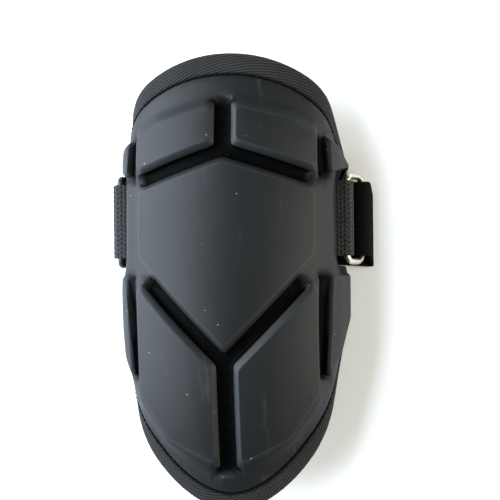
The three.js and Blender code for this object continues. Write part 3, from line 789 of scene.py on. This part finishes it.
def shell_piece():
    """The shell's closed skin: panels and flange outside, and a smooth face against the liner."""
    edge = shell_outline(LOOP_SPACING)
    count = len(edge)
    loops = [moved_in(edge, back) for back, _ in SHELL_SIDE]
    points = [at_rise(loop, rise) for loop, (_, rise) in zip(loops, SHELL_SIDE)]
    faces = skirt(count, len(loops))

    panels = [panel_loops(CENTRE_PANEL, 1)]
    for rows in (UPPER_PANEL, LOWER_PANEL, UPPER_WING, LOWER_WING):
        panels += [panel_loops(rows, 1), panel_loops(rows, -1)]
    lines = [loop for panel in panels for loop in panel]
    levels, edge_highlight = (np.concatenate([np.full(len(loop), shares[k]) for panel in panels
                                    for k, loop in enumerate(panel)])
                    for shares in (SIDE_LEVELS, EDGE_HIGHLIGHT_LEVELS))
    grid = grid_inside(loops[-1], SHELL_GRID, lines, SHELL_CLEAR)
    raised = np.zeros(len(grid))
    pillow = np.zeros(len(grid))
    for panel in panels:
        on_top = inside(panel[-1], grid)
        raised[on_top] = 1
        raised[inside(panel[0], grid) & ~on_top] = 0.5
        gap, _ = distance_to(panel[-1], grid[on_top])
        reach = np.clip(gap / PILLOW_REACH, 0, 1)
        pillow[on_top] = PILLOW * reach * (2 - reach)

    places, flat, sources = filled(loops[-1], [(line, True) for line in lines], grid)
    pick = np.array(sources)
    flange = np.zeros(count)
    raised = np.concatenate([flange, levels, raised])[pick]
    pillow = np.concatenate([flange, 0 * levels, pillow])[pick]
    # Painted highlight along the panels' top edges, taken from the levels of their loops
    edge_highlight = np.concatenate([flange, edge_highlight, np.zeros(len(grid))])[pick]
    ground = ground_rise(places, edge)
    rise = ground + (PANEL_TOP - ground) * raised + pillow
    rise[pick < count] = FLANGE
    below = (PANEL_TOP - rise) / (PANEL_TOP - GROOVE_FLOOR)
    # Painted shade: places sunk deep in a groove are marked to be painted near black
    painted_groove_shade = sunk_share(places) * np.clip((below - GROOVE_SHADE_START) / GROOVE_SHADE_FADE, 0, 1)
    sides = count * len(loops)
    # Corners that the triangulation adds where lines cross have no source: they take the place
    # of the last corner below the rim, which leaves slivers between those places and it
    index = [sides - count + source if source < count else sides + i for i, source in enumerate(sources)]
    faces.extend(tuple(index[corner] for corner in face) for face in flat)
    points.append(np.column_stack([places, rise]))

    under_grid = grid_inside(loops[0], UNDER_GRID, [], SHELL_GRID)
    under, flat, sources = filled(loops[0], [], under_grid)
    capped(faces, flat, sources, count, 0, sides + len(places))
    points.append(at_rise(under, 0))

    used, faces = in_use(faces)
    piece = new_piece("shell_moulding", on_form(np.vstack(points)[used]), faces, rubber())
    # The depth value is painted shade on the groove floors, and the edge value is a painted highlight
    # along the panels' top edges
    for name, values in (("depth", painted_groove_shade), ("edge", edge_highlight)):
        add_values(piece, name, np.concatenate([np.zeros(sides), values, np.zeros(len(under))])[used])
    return piece


shell = shell_piece()
on_guard(shell, "shell_foam", "shell")

# Stitching
# Black thread sews the liner's cloth to the shell's edge all round. Each stitch is a short
# bead that sinks at both ends.
STITCH_PITCH = 0.0026
STITCH_LENGTH = 0.0023
STITCH_THICKNESS = 0.0010
STITCH_OUT = 0.0007
STITCH_RISE = 0.0015
STITCH_CLEAR = 0.004
STITCH_GIRTH = 0.9 * NOTCH_GIRTH


def thread():
    """Dull twisted thread."""
    yarn = Finish("black_thread", roughness=0.9, Specular_IOR_Level=0.1)
    twist = yarn.noise(1500, 1)
    colour = yarn.mix(twist, tint(3, 3, 3), tint(9, 9, 10))
    return yarn.show(Base_Color=colour, Normal=yarn.bump(twist, 0.0001))


def stitched(name, lines, pitch, length, thickness, finish):
    """A row of stitches along closed or open lines, placed by a node tree and made a plain mesh."""
    tree = bpy.data.node_groups.new(name + "_stitches", "GeometryNodeTree")
    sockets = {"Geometry": "NodeSocketGeometry", "Pitch": "NodeSocketFloat",
               "Length": "NodeSocketFloat", "Thickness": "NodeSocketFloat"}
    named = {key: tree.interface.new_socket(key, in_out="INPUT", socket_type=kind)
             for key, kind in sockets.items()}
    tree.interface.new_socket("Geometry", in_out="OUTPUT", socket_type="NodeSocketGeometry")

    def add(kind, inputs, **settings):
        node = tree.nodes.new(kind)
        for key, value in settings.items():
            setattr(node, key, value)
        for key, value in inputs.items():
            if hasattr(value, "is_output"):
                tree.links.new(value, node.inputs[key])
            else:
                node.inputs[key].default_value = value
        return node

    given = add("NodeGroupInput", {})
    spots = add("GeometryNodeCurveToPoints", {
        "Curve": given.outputs["Geometry"], "Length": given.outputs["Pitch"]}, mode="LENGTH")
    bead = add("GeometryNodeMeshUVSphere", {"Segments": 8, "Rings": 5, "Radius": 0.5})
    form = add("ShaderNodeCombineXYZ", {
        "X": given.outputs["Thickness"], "Y": given.outputs["Thickness"], "Z": given.outputs["Length"]})
    drawn = add("GeometryNodeTransform", {"Geometry": bead.outputs["Mesh"], "Scale": form.outputs[0]})
    beads = add("GeometryNodeInstanceOnPoints", {
        "Points": spots.outputs["Points"], "Instance": drawn.outputs[0],
        "Rotation": spots.outputs["Rotation"]})
    real = add("GeometryNodeRealizeInstances", {"Geometry": beads.outputs[0]})
    smooth = add("GeometryNodeSetShadeSmooth", {"Geometry": real.outputs[0]})
    painted = add("GeometryNodeSetMaterial", {"Geometry": smooth.outputs[0], "Material": finish})
    add("NodeGroupOutput", {"Geometry": painted.outputs[0]})

    path = bpy.data.curves.new(name + "_path", "CURVE")
    path.dimensions = "3D"
    for points, closed in lines:
        spline = path.splines.new("POLY")
        spline.points.add(len(points) - 1)
        for corner, point in zip(spline.points, points):
            corner.co = (*point, 1)
        spline.use_cyclic_u = closed
    guide = placed(name + "_path", path)
    sewing = guide.modifiers.new("sewing", "NODES")
    sewing.node_group = tree
    for key, value in (("Pitch", pitch), ("Length", length), ("Thickness", thickness)):
        sewing[named[key].identifier] = value
    mesh = worked_out(guide)
    bpy.data.objects.remove(guide)
    return placed(name, mesh)


seam = moved_in(shell_outline(EDGE_SPACING), -STITCH_OUT)
on_border = (np.abs(seam[:, 1]) > NOTCH_UPPER + STITCH_CLEAR) | (np.abs(seam[:, 0]) < STITCH_GIRTH)
seam_runs = [(on_form(at_rise(seam, STITCH_RISE)[run]), False) for run in runs(on_border)]
shell_stitches = stitched("shell_stitches", seam_runs, STITCH_PITCH, STITCH_LENGTH,
                          STITCH_THICKNESS, thread())
on_guard(shell_stitches, "webbing")

# Webbing tabs
# A tab of heavy polypropylene webbing comes out from under the shell on each side, turns round
# the ring's upper bar and goes back under the shell, where both layers are sewn to the liner.
WEB_WIDTH = 0.038
WEB_THICKNESS = 0.0016
WEB_GAP = 0.0003
TAB_ROOT_GIRTH = 0.044
STEEL_WIRE = 0.0034
PLASTIC_ROD = 0.004
STEEL_UPPER_BAR = (0.0578, 0.017)
STEEL_LOWER_BAR = (0.0650, 0.0049)
PLASTIC_UPPER_BAR = (-0.0588, 0.0174)
PLASTIC_LOWER_BAR = (-0.0596, 0.006)
TAB_ALONG = 0.0012
WEB_STEP = 0.0003
CHEVRON_WIDTH = 0.0019
CHEVRON_PITCH = 0.0024
CHEVRON_RELIEF = 0.00028
CHEVRON_SLANT = 0.75
CHEVRON_GUTTER = 0.16
THREAD_SHADE = 1.25
THREAD_CONTRAST = 1.5
FIBRE_PITCH = 0.00045
SELVEDGE_THINNING = 0.8
ROOT_POINTS = 16
BEND_STEPS = 13
# Where a tab comes out from under the shell and goes back, in flanges beyond the notch's edge
TAB_EXIT = 0.6
TAB_ENTRY = 1.4
TAB_EASE = 1.6
TAB_BEND = 0.001
TAB_ENTRY_OUT = 0.0001
TAB_ENTRY_DROP = 0.0012


def rounded(corners):
    """A route of straight runs with rounded corners, from rows of x, z, radius and slide."""
    route = [(*corners[0][:2], corners[0][3])]
    for before, here, after in zip(corners, corners[1:], corners[2:]):
        point = np.array(here[:2])
        back = np.array(before[:2]) - point
        onward = np.array(after[:2]) - point
        back /= np.linalg.norm(back)
        onward /= np.linalg.norm(onward)
        half = math.acos(max(-1.0, min(1.0, float(back @ onward)))) / 2
        middle = (back + onward) / np.linalg.norm(back + onward)
        centre = point + middle * here[2] / math.sin(half)
        arm = point + back * here[2] / math.tan(half) - centre
        turn = math.copysign(math.pi - 2 * half, back[1] * onward[0] - back[0] * onward[1])
        for share in np.linspace(0, 1, BEND_STEPS):
            cosine, sine = math.cos(turn * share), math.sin(turn * share)
            x = centre[0] + arm[0] * cosine - arm[1] * sine
            z = centre[1] + arm[0] * sine + arm[1] * cosine
            route.append((x, z, here[3]))
    route.append((*corners[-1][:2], corners[-1][3]))
    return np.array(route)


def even(route, step):
    """An open route with evenly spaced points; every column is carried along."""
    reach = np.concatenate([[0], np.cumsum(np.linalg.norm(np.diff(route[:, :2], axis=0), axis=1))])
    keep = np.concatenate([[True], np.diff(reach) > 1e-7])
    places = np.linspace(0, reach[-1], int(reach[-1] / step) + 1)
    return places, np.stack([np.interp(places, reach[keep], column[keep]) for column in route.T], axis=1)


def band_piece(name, route, step, columns, thickness, relief, place, finish):
    """A closed band along a route with its own relief, and where its corners lie in the cloth."""
    reach, line = even(route, step)
    onward = np.gradient(line[:, :2], axis=0)
    onward /= np.linalg.norm(onward, axis=1)[:, None]
    normal = np.stack([-onward[:, 1], onward[:, 0]], axis=1)
    outer = np.abs(columns).max()
    inset = np.clip((np.abs(columns) - outer + thickness / 2) / (thickness / 2), 0, 1)
    half = thickness / 2 * np.sqrt(1 - SELVEDGE_THINNING * inset**2)
    points = []
    for sign in (1, -1):
        lift = half[None, :] + relief(reach[:, None], columns[None, :]) * (1 - inset)[None, :]
        x = line[:, 0, None] + sign * lift * normal[:, 0, None]
        z = line[:, 1, None] + sign * lift * normal[:, 1, None]
        y = np.broadcast_to(columns[None, :], x.shape)
        points.append(place(line, x, y, z))
    rows, cols = points[0].shape[:2]
    corners = np.concatenate([points[0].reshape(-1, 3), points[1].reshape(-1, 3)])
    second = rows * cols
    faces = []
    for i in range(rows - 1):
        for j in range(cols - 1):
            a = i * cols + j
            faces.append((a, a + 1, a + cols + 1, a + cols))
            faces.append((second + a, second + a + cols, second + a + cols + 1, second + a + 1))
        for j in (0, cols - 1):
            a = i * cols + j
            faces.append((a, a + cols, second + a + cols, second + a))
    for i in (0, rows - 1):
        for j in range(cols - 1):
            a = i * cols + j
            faces.append((a, a + 1, second + a + 1, second + a))
    piece = new_piece(name, corners, faces, finish)
    along = np.tile(np.repeat(reach, cols), 2)
    across = np.tile(columns, 2 * rows)
    add_weave(piece, along, across)
    return piece, along, across


def webbing():
    """Charcoal webbing: thick threads in a herringbone, dark where they dive."""
    cloth = Finish("webbing", roughness=0.85, Specular_IOR_Level=0.2)
    run, out, _ = split(cloth, cloth.node("UVMap", uv_map="weave"))
    fibre = (run + out * 0.7).wave(FIBRE_PITCH) * (run - out * 0.7).wave(FIBRE_PITCH)
    low = cloth.value("low")
    fluff = cloth.noise(700, 3)
    base = cloth.mix(fluff, tint(38, 39, 39), tint(82, 83, 83))
    colour = cloth.mix(low * 0.95, base, tint(3, 3, 3))
    return cloth.show(Base_Color=colour, Normal=cloth.bump(fibre + fluff * 0.6, 0.00015))


def herringbone(run, out):
    """Relief of slanted threads that change direction from one column to the next."""
    column = np.floor(run / CHEVRON_WIDTH)
    within = run / CHEVRON_WIDTH - column
    slant = np.where(column % 2 == 0, within, 1 - within)
    phase = out / CHEVRON_PITCH + CHEVRON_SLANT * slant
    ridge = np.sqrt(np.abs(np.cos(np.pi * phase)))
    gutter = np.clip(np.minimum(within, 1 - within) / CHEVRON_GUTTER, 0, 1)
    return CHEVRON_RELIEF * (ridge * gutter - 0.5)


def tab_piece(name, bar, wire, finish):
    """A webbing tab round a ring's upper bar, with its root under the shell."""
    side = math.copysign(1, bar[0])
    wrap = wire / 2 + WEB_GAP + WEB_THICKNESS / 2
    outer = -WEB_GAP - WEB_THICKNESS / 2
    inner = outer - WEB_THICKNESS - WEB_GAP

    def under_shell(girths, rise):
        return on_form([(side * girth, 0, rise) for girth in girths])[:, [0, 2]]

    girths = np.linspace(TAB_ROOT_GIRTH, WALL_GIRTH, ROOT_POINTS)
    over, under = under_shell(girths, outer), under_shell(girths, inner)
    start_x, start_z = over[-1]
    entry = under_shell([NOTCH_GIRTH + TAB_ENTRY * FLANGE], inner)[0]
    exit_girth = NOTCH_GIRTH + TAB_EXIT * FLANGE
    exit_x = under_shell([exit_girth], outer)[0, 0]
    bar_x, bar_z = bar
    far = bar_x + side * wrap
    shoulder_x = start_x + side * (start_z - bar_z - wrap) / math.tan(WALL_TURN)
    free = rounded([
        (start_x, start_z, 0, 0), (shoulder_x, bar_z + wrap, TAB_BEND, 0), (far, bar_z + wrap, wrap, 0),
        (far, bar_z - wrap, wrap, 0), (bar_x - side * 2 * wrap, bar_z - wrap, TAB_BEND, 0),
        (entry[0] + side * TAB_ENTRY_OUT, entry[1] - TAB_ENTRY_DROP, TAB_BEND, 0), (*under[-1], 0, 0),
    ])[1:-1]
    follow = np.maximum(0, 1 - TAB_EASE * np.abs(free[:, 0] - exit_x) / abs(far - exit_x))
    sewn = np.column_stack([np.ones(ROOT_POINTS), side * girths])
    route = np.vstack([
        np.column_stack([over, sewn]),
        np.column_stack([free[:, :2], follow, np.full(len(free), side * exit_girth)]),
        np.column_stack([under, sewn])[::-1],
    ])

    def place(line, x, y, z):
        along = y.ravel()
        girth = np.repeat(line[:, 3], y.shape[1])
        shift = (form_points(girth, along) - form_points(girth, 0 * along)).reshape(*y.shape, 3)
        shift *= line[:, 2, None, None]
        return np.stack([x + shift[..., 0], y + TAB_ALONG, z + shift[..., 2]], axis=-1)

    columns = np.linspace(-WEB_WIDTH / 2, WEB_WIDTH / 2, int(WEB_WIDTH / WEB_STEP) + 1)
    piece, run, out = band_piece(name, route, WEB_STEP, columns, WEB_THICKNESS, herringbone, place, finish)
    height = herringbone(run, out) / CHEVRON_RELIEF + 0.5
    add_values(piece, "low", np.clip(THREAD_SHADE - height * THREAD_CONTRAST, 0, 1))
    return piece


web_finish = webbing()
for node, bar, wire in (("tab_left", PLASTIC_UPPER_BAR, PLASTIC_ROD),
                        ("tab_right", STEEL_UPPER_BAR, STEEL_WIRE)):
    on_guard(tab_piece(node + "_webbing", bar, wire, web_finish), "webbing", node)

# Rings
# The right ring is bent from nickel-plated steel wire. The left one is a moulded black plastic
# loop. Each hangs in its tab by the upper bar and takes the strap on the lower one.
RING_OPENING = 0.040
STEEL_CORNER = 0.0052
PLASTIC_CORNER = 0.0040
WIRE_SIDES = 20
WIRE_STEP = 0.0007


def nickel():
    """Plated wire with fine drawn scratches and a few dull spots."""
    metal = Finish("nickel", Metallic=1.0)
    x, y, z = split(metal, metal.place())
    drawn = metal.node("CombineXYZ", {0: x * 900, 1: y * 60, 2: z * 900})
    scratch = metal.noise(1.0, 3, where=drawn)
    dull = metal.noise(160, 3)
    colour = metal.mix(dull, tint(196, 188, 164), tint(220, 214, 196))
    return metal.show(Base_Color=colour, Roughness=0.2 + dull * 0.18,
                      Normal=metal.bump(scratch, 0.00003))


def black_plastic():
    """Moulded plastic with a slight texture."""
    plastic = Finish("black_plastic", roughness=0.42)
    grain = plastic.noise(1200, 2)
    colour = plastic.mix(plastic.noise(90, 2), tint(14, 14, 15), tint(28, 28, 29))
    return plastic.show(Base_Color=colour, Roughness=0.36 + grain * 0.18,
                        Normal=plastic.bump(grain, 0.00004))


def ring_piece(name, upper, lower, thickness, corner, finish):
    """A closed ring of round wire through both bars."""
    upper, lower = np.array(upper), np.array(lower)
    middle = (upper + lower) / 2
    half = np.linalg.norm(upper - lower) / 2
    down = (lower - upper) / (2 * half)
    end = (RING_OPENING + thickness) / 2
    sharp = np.array([(end, half), (-end, half), (-end, -half), (end, -half)])
    loop = resampled(softened(sharp, corner, pieces=10), WIRE_STEP)
    out = loop - moved_in(loop, 1.0)
    turns = 2 * np.pi * np.arange(WIRE_SIDES) / WIRE_SIDES
    along, fall = (loop[:, k, None] + out[:, k, None] * np.cos(turns) * thickness / 2 for k in (0, 1))
    lift = np.broadcast_to(np.sin(turns) * thickness / 2, along.shape)
    x = middle[0] + down[0] * fall + down[1] * lift
    z = middle[1] + down[1] * fall - down[0] * lift
    points = np.stack([x, along + TAB_ALONG, z], axis=-1).reshape(-1, 3)
    count = len(loop)
    faces = [(i * WIRE_SIDES + k, (i + 1) % count * WIRE_SIDES + k,
              (i + 1) % count * WIRE_SIDES + (k + 1) % WIRE_SIDES,
              i * WIRE_SIDES + (k + 1) % WIRE_SIDES) for i in range(count) for k in range(WIRE_SIDES)]
    return new_piece(name, points, faces, finish)


ring_left = ring_piece("plastic_loop", PLASTIC_UPPER_BAR, PLASTIC_LOWER_BAR, PLASTIC_ROD,
                       PLASTIC_CORNER, black_plastic())
on_guard(ring_left, "black_plastic", "ring_left")
ring_right = ring_piece("steel_loop", STEEL_UPPER_BAR, STEEL_LOWER_BAR, STEEL_WIRE,
                        STEEL_CORNER, nickel())
on_guard(ring_right, "ring_steel", "ring_right")

# Strap
# One length of ribbed black elastic. Its tail lies along the table, turns over the steel ring's
# lower bar, comes back over itself and is sewn down round the plastic ring's lower bar.
STRAP_THICKNESS = 0.002
STRAP_SLIDE = -0.0055
TAIL_END = -0.020
FLAP_END = -0.034
PATCH_THICKNESS = 0.001
RIB_PITCH = 0.0014
RIB_RELIEF = 0.00022
RIB_PHASE = 0.25
RIB_MIDDLE = 0.6
RIB_POINTS = 6
CROSS_PITCH = 0.0007
CROSS_SLIP = 0.0003
STRAP_STEP = 0.0011
# The strap's bends in turn: how far each lies in or out from the bar or the end beside it
TURN_OUT = 0.0054
TURN_RADIUS = 0.0016
TURN_LEAN = 0.0002
LEAVE_IN = 0.001
LEAVE_DROP = 0.0009
LEAVE_RADIUS = 0.0014
LEVEL_IN = 0.012
LEVEL_RADIUS = 0.020
CROSSING_PAST_TAIL = 0.003
TABLE_PAST_TAIL = 0.011
CROSSING_RADIUS = 0.012
LIFT_IN = 0.008
LIFT_RADIUS = 0.006
FLAP_LEAVE_IN = 0.005
FLAP_LEVEL_PAST = 0.014
FLAP_RADIUS = 0.004
HALF_STRAP = STRAP_THICKNESS / 2
UPPER_LEVEL = STRAP_THICKNESS + PATCH_THICKNESS + 2 * WEB_GAP + HALF_STRAP


def elastic():
    """Black elastic: rubber cords run along it under close cross threads."""
    cloth = Finish("strap_elastic", roughness=0.9, Specular_IOR_Level=0.12)
    run, out, _ = split(cloth, cloth.node("UVMap", uv_map="weave"))
    row = (out / RIB_PITCH).floor()
    cross = (run + row * CROSS_SLIP).wave(CROSS_PITCH)
    rib = out.wave(RIB_PITCH)
    fluff = cloth.noise(600, 3)
    light = cloth.mix(fluff, tint(8, 8, 7), tint(18, 18, 15))
    colour = cloth.mix(rib * 0.7 + cross * 0.3, tint(2, 2, 1), light)
    return cloth.show(Base_Color=colour, Normal=cloth.bump(cross + fluff * 0.4, 0.00015))


def ribs(run, out):
    """Relief of the cords, the same all along the run."""
    cord = np.abs(np.sin(np.pi * (out / RIB_PITCH + RIB_PHASE)))
    return RIB_RELIEF * (cord - RIB_MIDDLE) + 0 * run


def strap_piece():
    """The whole strap from its tail on the table to the end that is sewn down."""
    steel = STEEL_WIRE / 2 + WEB_GAP + HALF_STRAP
    plastic = PLASTIC_ROD / 2 + WEB_GAP + HALF_STRAP
    bar_x, bar_z = STEEL_LOWER_BAR
    rod_x, rod_z = PLASTIC_LOWER_BAR
    tail = HALF_STRAP + RIB_RELIEF / 2
    flap = tail + STRAP_THICKNESS + WEB_GAP
    route = rounded([
        (TAIL_END, tail, 0, 0),
        (bar_x + TURN_OUT, tail, TURN_RADIUS, STRAP_SLIDE),
        (bar_x + steel + TURN_LEAN, bar_z + steel, steel, 0),
        (bar_x - steel, bar_z + steel, steel, 0),
        (bar_x - steel - LEAVE_IN, UPPER_LEVEL - LEAVE_DROP, LEAVE_RADIUS, 0),
        (bar_x - steel - LEVEL_IN, UPPER_LEVEL, LEVEL_RADIUS, 0),
        (TAIL_END - CROSSING_PAST_TAIL, UPPER_LEVEL, CROSSING_RADIUS, 0),
        (TAIL_END - TABLE_PAST_TAIL, tail, CROSSING_RADIUS, 0),
        (rod_x + LIFT_IN, tail, LIFT_RADIUS, 0),
        (rod_x - plastic, rod_z - plastic, plastic, 0),
        (rod_x - plastic, rod_z + plastic, plastic, 0),
        (rod_x + FLAP_LEAVE_IN, rod_z + plastic, FLAP_RADIUS, 0),
        (FLAP_END - FLAP_LEVEL_PAST, flap, FLAP_RADIUS, 0),
        (FLAP_END, flap, 0, 0),
    ])

    def place(line, x, y, z):
        return np.stack([x, y + line[:, 2, None] + TAB_ALONG, np.maximum(z, 0)], axis=-1)

    columns = np.linspace(-WEB_WIDTH / 2, WEB_WIDTH / 2, RIB_POINTS * int(WEB_WIDTH / RIB_PITCH) + 1)
    return band_piece("elastic_strap", route, STRAP_STEP, columns, STRAP_THICKNESS, ribs, place, elastic())


strap, _, _ = strap_piece()
on_guard(strap, "strap_elastic", "strap")

# Hook patch
# A patch of hook tape is sewn on the strap's tail and holds the upper layer. Rows of stiff
# hooks stand on its woven back.
PATCH_SETBACK = 0.003
PATCH_START = TAIL_END + PATCH_SETBACK
PATCH_LENGTH = 0.050
PATCH_END = PATCH_START + PATCH_LENGTH
PATCH_MARGIN = 0.001
PATCH_HALF = WEB_WIDTH / 2 - PATCH_MARGIN
PATCH_CORNER = 0.002
PATCH_BACK = 0.0005
HOOK_PITCH = 0.0018
HOOK_SINK = 0.0001
# A hook from its foot to its tip: half its width, and how far it leans
HOOK_ROWS = ((0.0003, 0), (0.0002, 0.0002), (0.0001, 0.0005))
SQUARE = ((-1, -1), (1, -1), (1, 1), (-1, 1))


def hook_tape():
    """Dark speckled tape."""
    tape = Finish("hook_tape", roughness=0.7)
    speck = tape.noise(1100, 2)
    colour = tape.mix(speck, tint(16, 16, 16), tint(44, 44, 43))
    return tape.show(Base_Color=colour, Normal=tape.bump(speck, 0.0002))


def hook_patch_piece():
    """The patch's plain back, with a row of four-sided hooks that lean one way."""
    base = STRAP_THICKNESS + WEB_GAP
    low, high = base + PATCH_BACK, base + PATCH_THICKNESS
    sharp = np.array([(PATCH_START, -PATCH_HALF), (PATCH_END, -PATCH_HALF),
                      (PATCH_END, PATCH_HALF), (PATCH_START, PATCH_HALF)])
    loop = softened(sharp, PATCH_CORNER, pieces=5)
    count = len(loop)
    points = [(x, y, z) for z in (base, low) for x, y in loop]
    faces = skirt(count, 2)
    faces += [tuple(range(count))[::-1], tuple(range(count, 2 * count))]
    for x in np.arange(PATCH_START + PATCH_CORNER, PATCH_END - PATCH_CORNER, HOOK_PITCH):
        for y in np.arange(PATCH_CORNER - PATCH_HALF, PATCH_HALF - PATCH_CORNER, HOOK_PITCH):
            first = len(points)
            for (wide, lean), z in zip(HOOK_ROWS, (low - HOOK_SINK, high - HOOK_SINK, high)):
                points += [(x + lean + a * wide, y + b * wide, z) for a, b in SQUARE]
            faces += [tuple(first + corner for corner in face) for face in skirt(4, 3)]
            faces.append((first + 3, first + 2, first + 1, first))
            faces.append((first + 8, first + 9, first + 10, first + 11))
    return new_piece("hook_tape_patch", points, faces, hook_tape())


hook_patch = hook_patch_piece()
on_guard(hook_patch, "hook_tape", "hook_patch")

# Table, light and camera
# A pale table, a large cool light on the left and a weak warm one on the right, seen from
# straight above and a little to the right.
CAMERA_TARGET = Vector((0.0025, -0.029, 0.020))
CAMERA_DISTANCE = 0.620
CAMERA_SIDEWAYS = math.radians(8.5)
CAMERA_ROLL = math.radians(-0.6)
CAMERA_LENS = 87.5
CAMERA_SHIFT = (0.024, 0.058)


LIGHT_TARGET = Vector((0, -0.03, 0.02))
SKY_STRENGTH = 0.15


def table():
    """A plain pale surface with hardly any cloud in it."""
    surface = Finish("table", roughness=0.8)
    colour = surface.mix(surface.noise(3, 1), tint(246, 246, 246), tint(249, 249, 249))
    return surface.show(Base_Color=colour)


def floor_piece():
    """The table's top, far wider than the guard."""
    mesh = bpy.data.meshes.new("floor")
    mesh.from_pydata([(-2, -2, 0), (2, -2, 0), (2, 2, 0), (-2, 2, 0)], [], [(0, 1, 2, 3)])
    mesh.materials.append(table())
    placed("floor", mesh)


def lamp(name, place, width, height, power, colour):
    """A soft rectangular light that faces the guard."""
    light = bpy.data.lights.new(name, "AREA")
    light.shape = "RECTANGLE"
    light.size = width
    light.size_y = height
    light.energy = power
    light.color = colour
    holder = placed(name, light)
    holder.location = place
    holder.rotation_euler = (LIGHT_TARGET - Vector(place)).to_track_quat("-Z", "Y").to_euler()


def camera():
    """The view from above, leaning a little to the right."""
    back = Vector((math.sin(CAMERA_SIDEWAYS), 0, math.cos(CAMERA_SIDEWAYS)))
    up = Vector((0, 1, 0))
    right = up.cross(back)
    view = bpy.data.cameras.new("camera")
    view.lens = CAMERA_LENS
    view.shift_x, view.shift_y = CAMERA_SHIFT
    holder = placed("camera", view)
    turned = Matrix((right, up, back)).transposed().to_4x4() @ Matrix.Rotation(CAMERA_ROLL, 4, "Z")
    holder.matrix_world = Matrix.Translation(CAMERA_TARGET + back * CAMERA_DISTANCE) @ turned
    bpy.context.scene.camera = holder


floor_piece()
lamp("key", (-0.95, 0.13, 0.58), width=1.4, height=1.4, power=64, colour=(0.77, 0.87, 1.0))
lamp("side", (0.9, -0.05, 0.5), width=0.9, height=1.1, power=14, colour=(1.0, 0.99, 0.88))
sky = bpy.data.worlds.new("studio")
sky.use_nodes = True
sky_light = sky.node_tree.nodes["Background"]
sky_light.inputs["Color"].default_value = (1.0, 1.0, 1.0, 1)
sky_light.inputs["Strength"].default_value = SKY_STRENGTH
bpy.context.scene.world = sky
bpy.context.scene.view_settings.view_transform = "Standard"
camera()
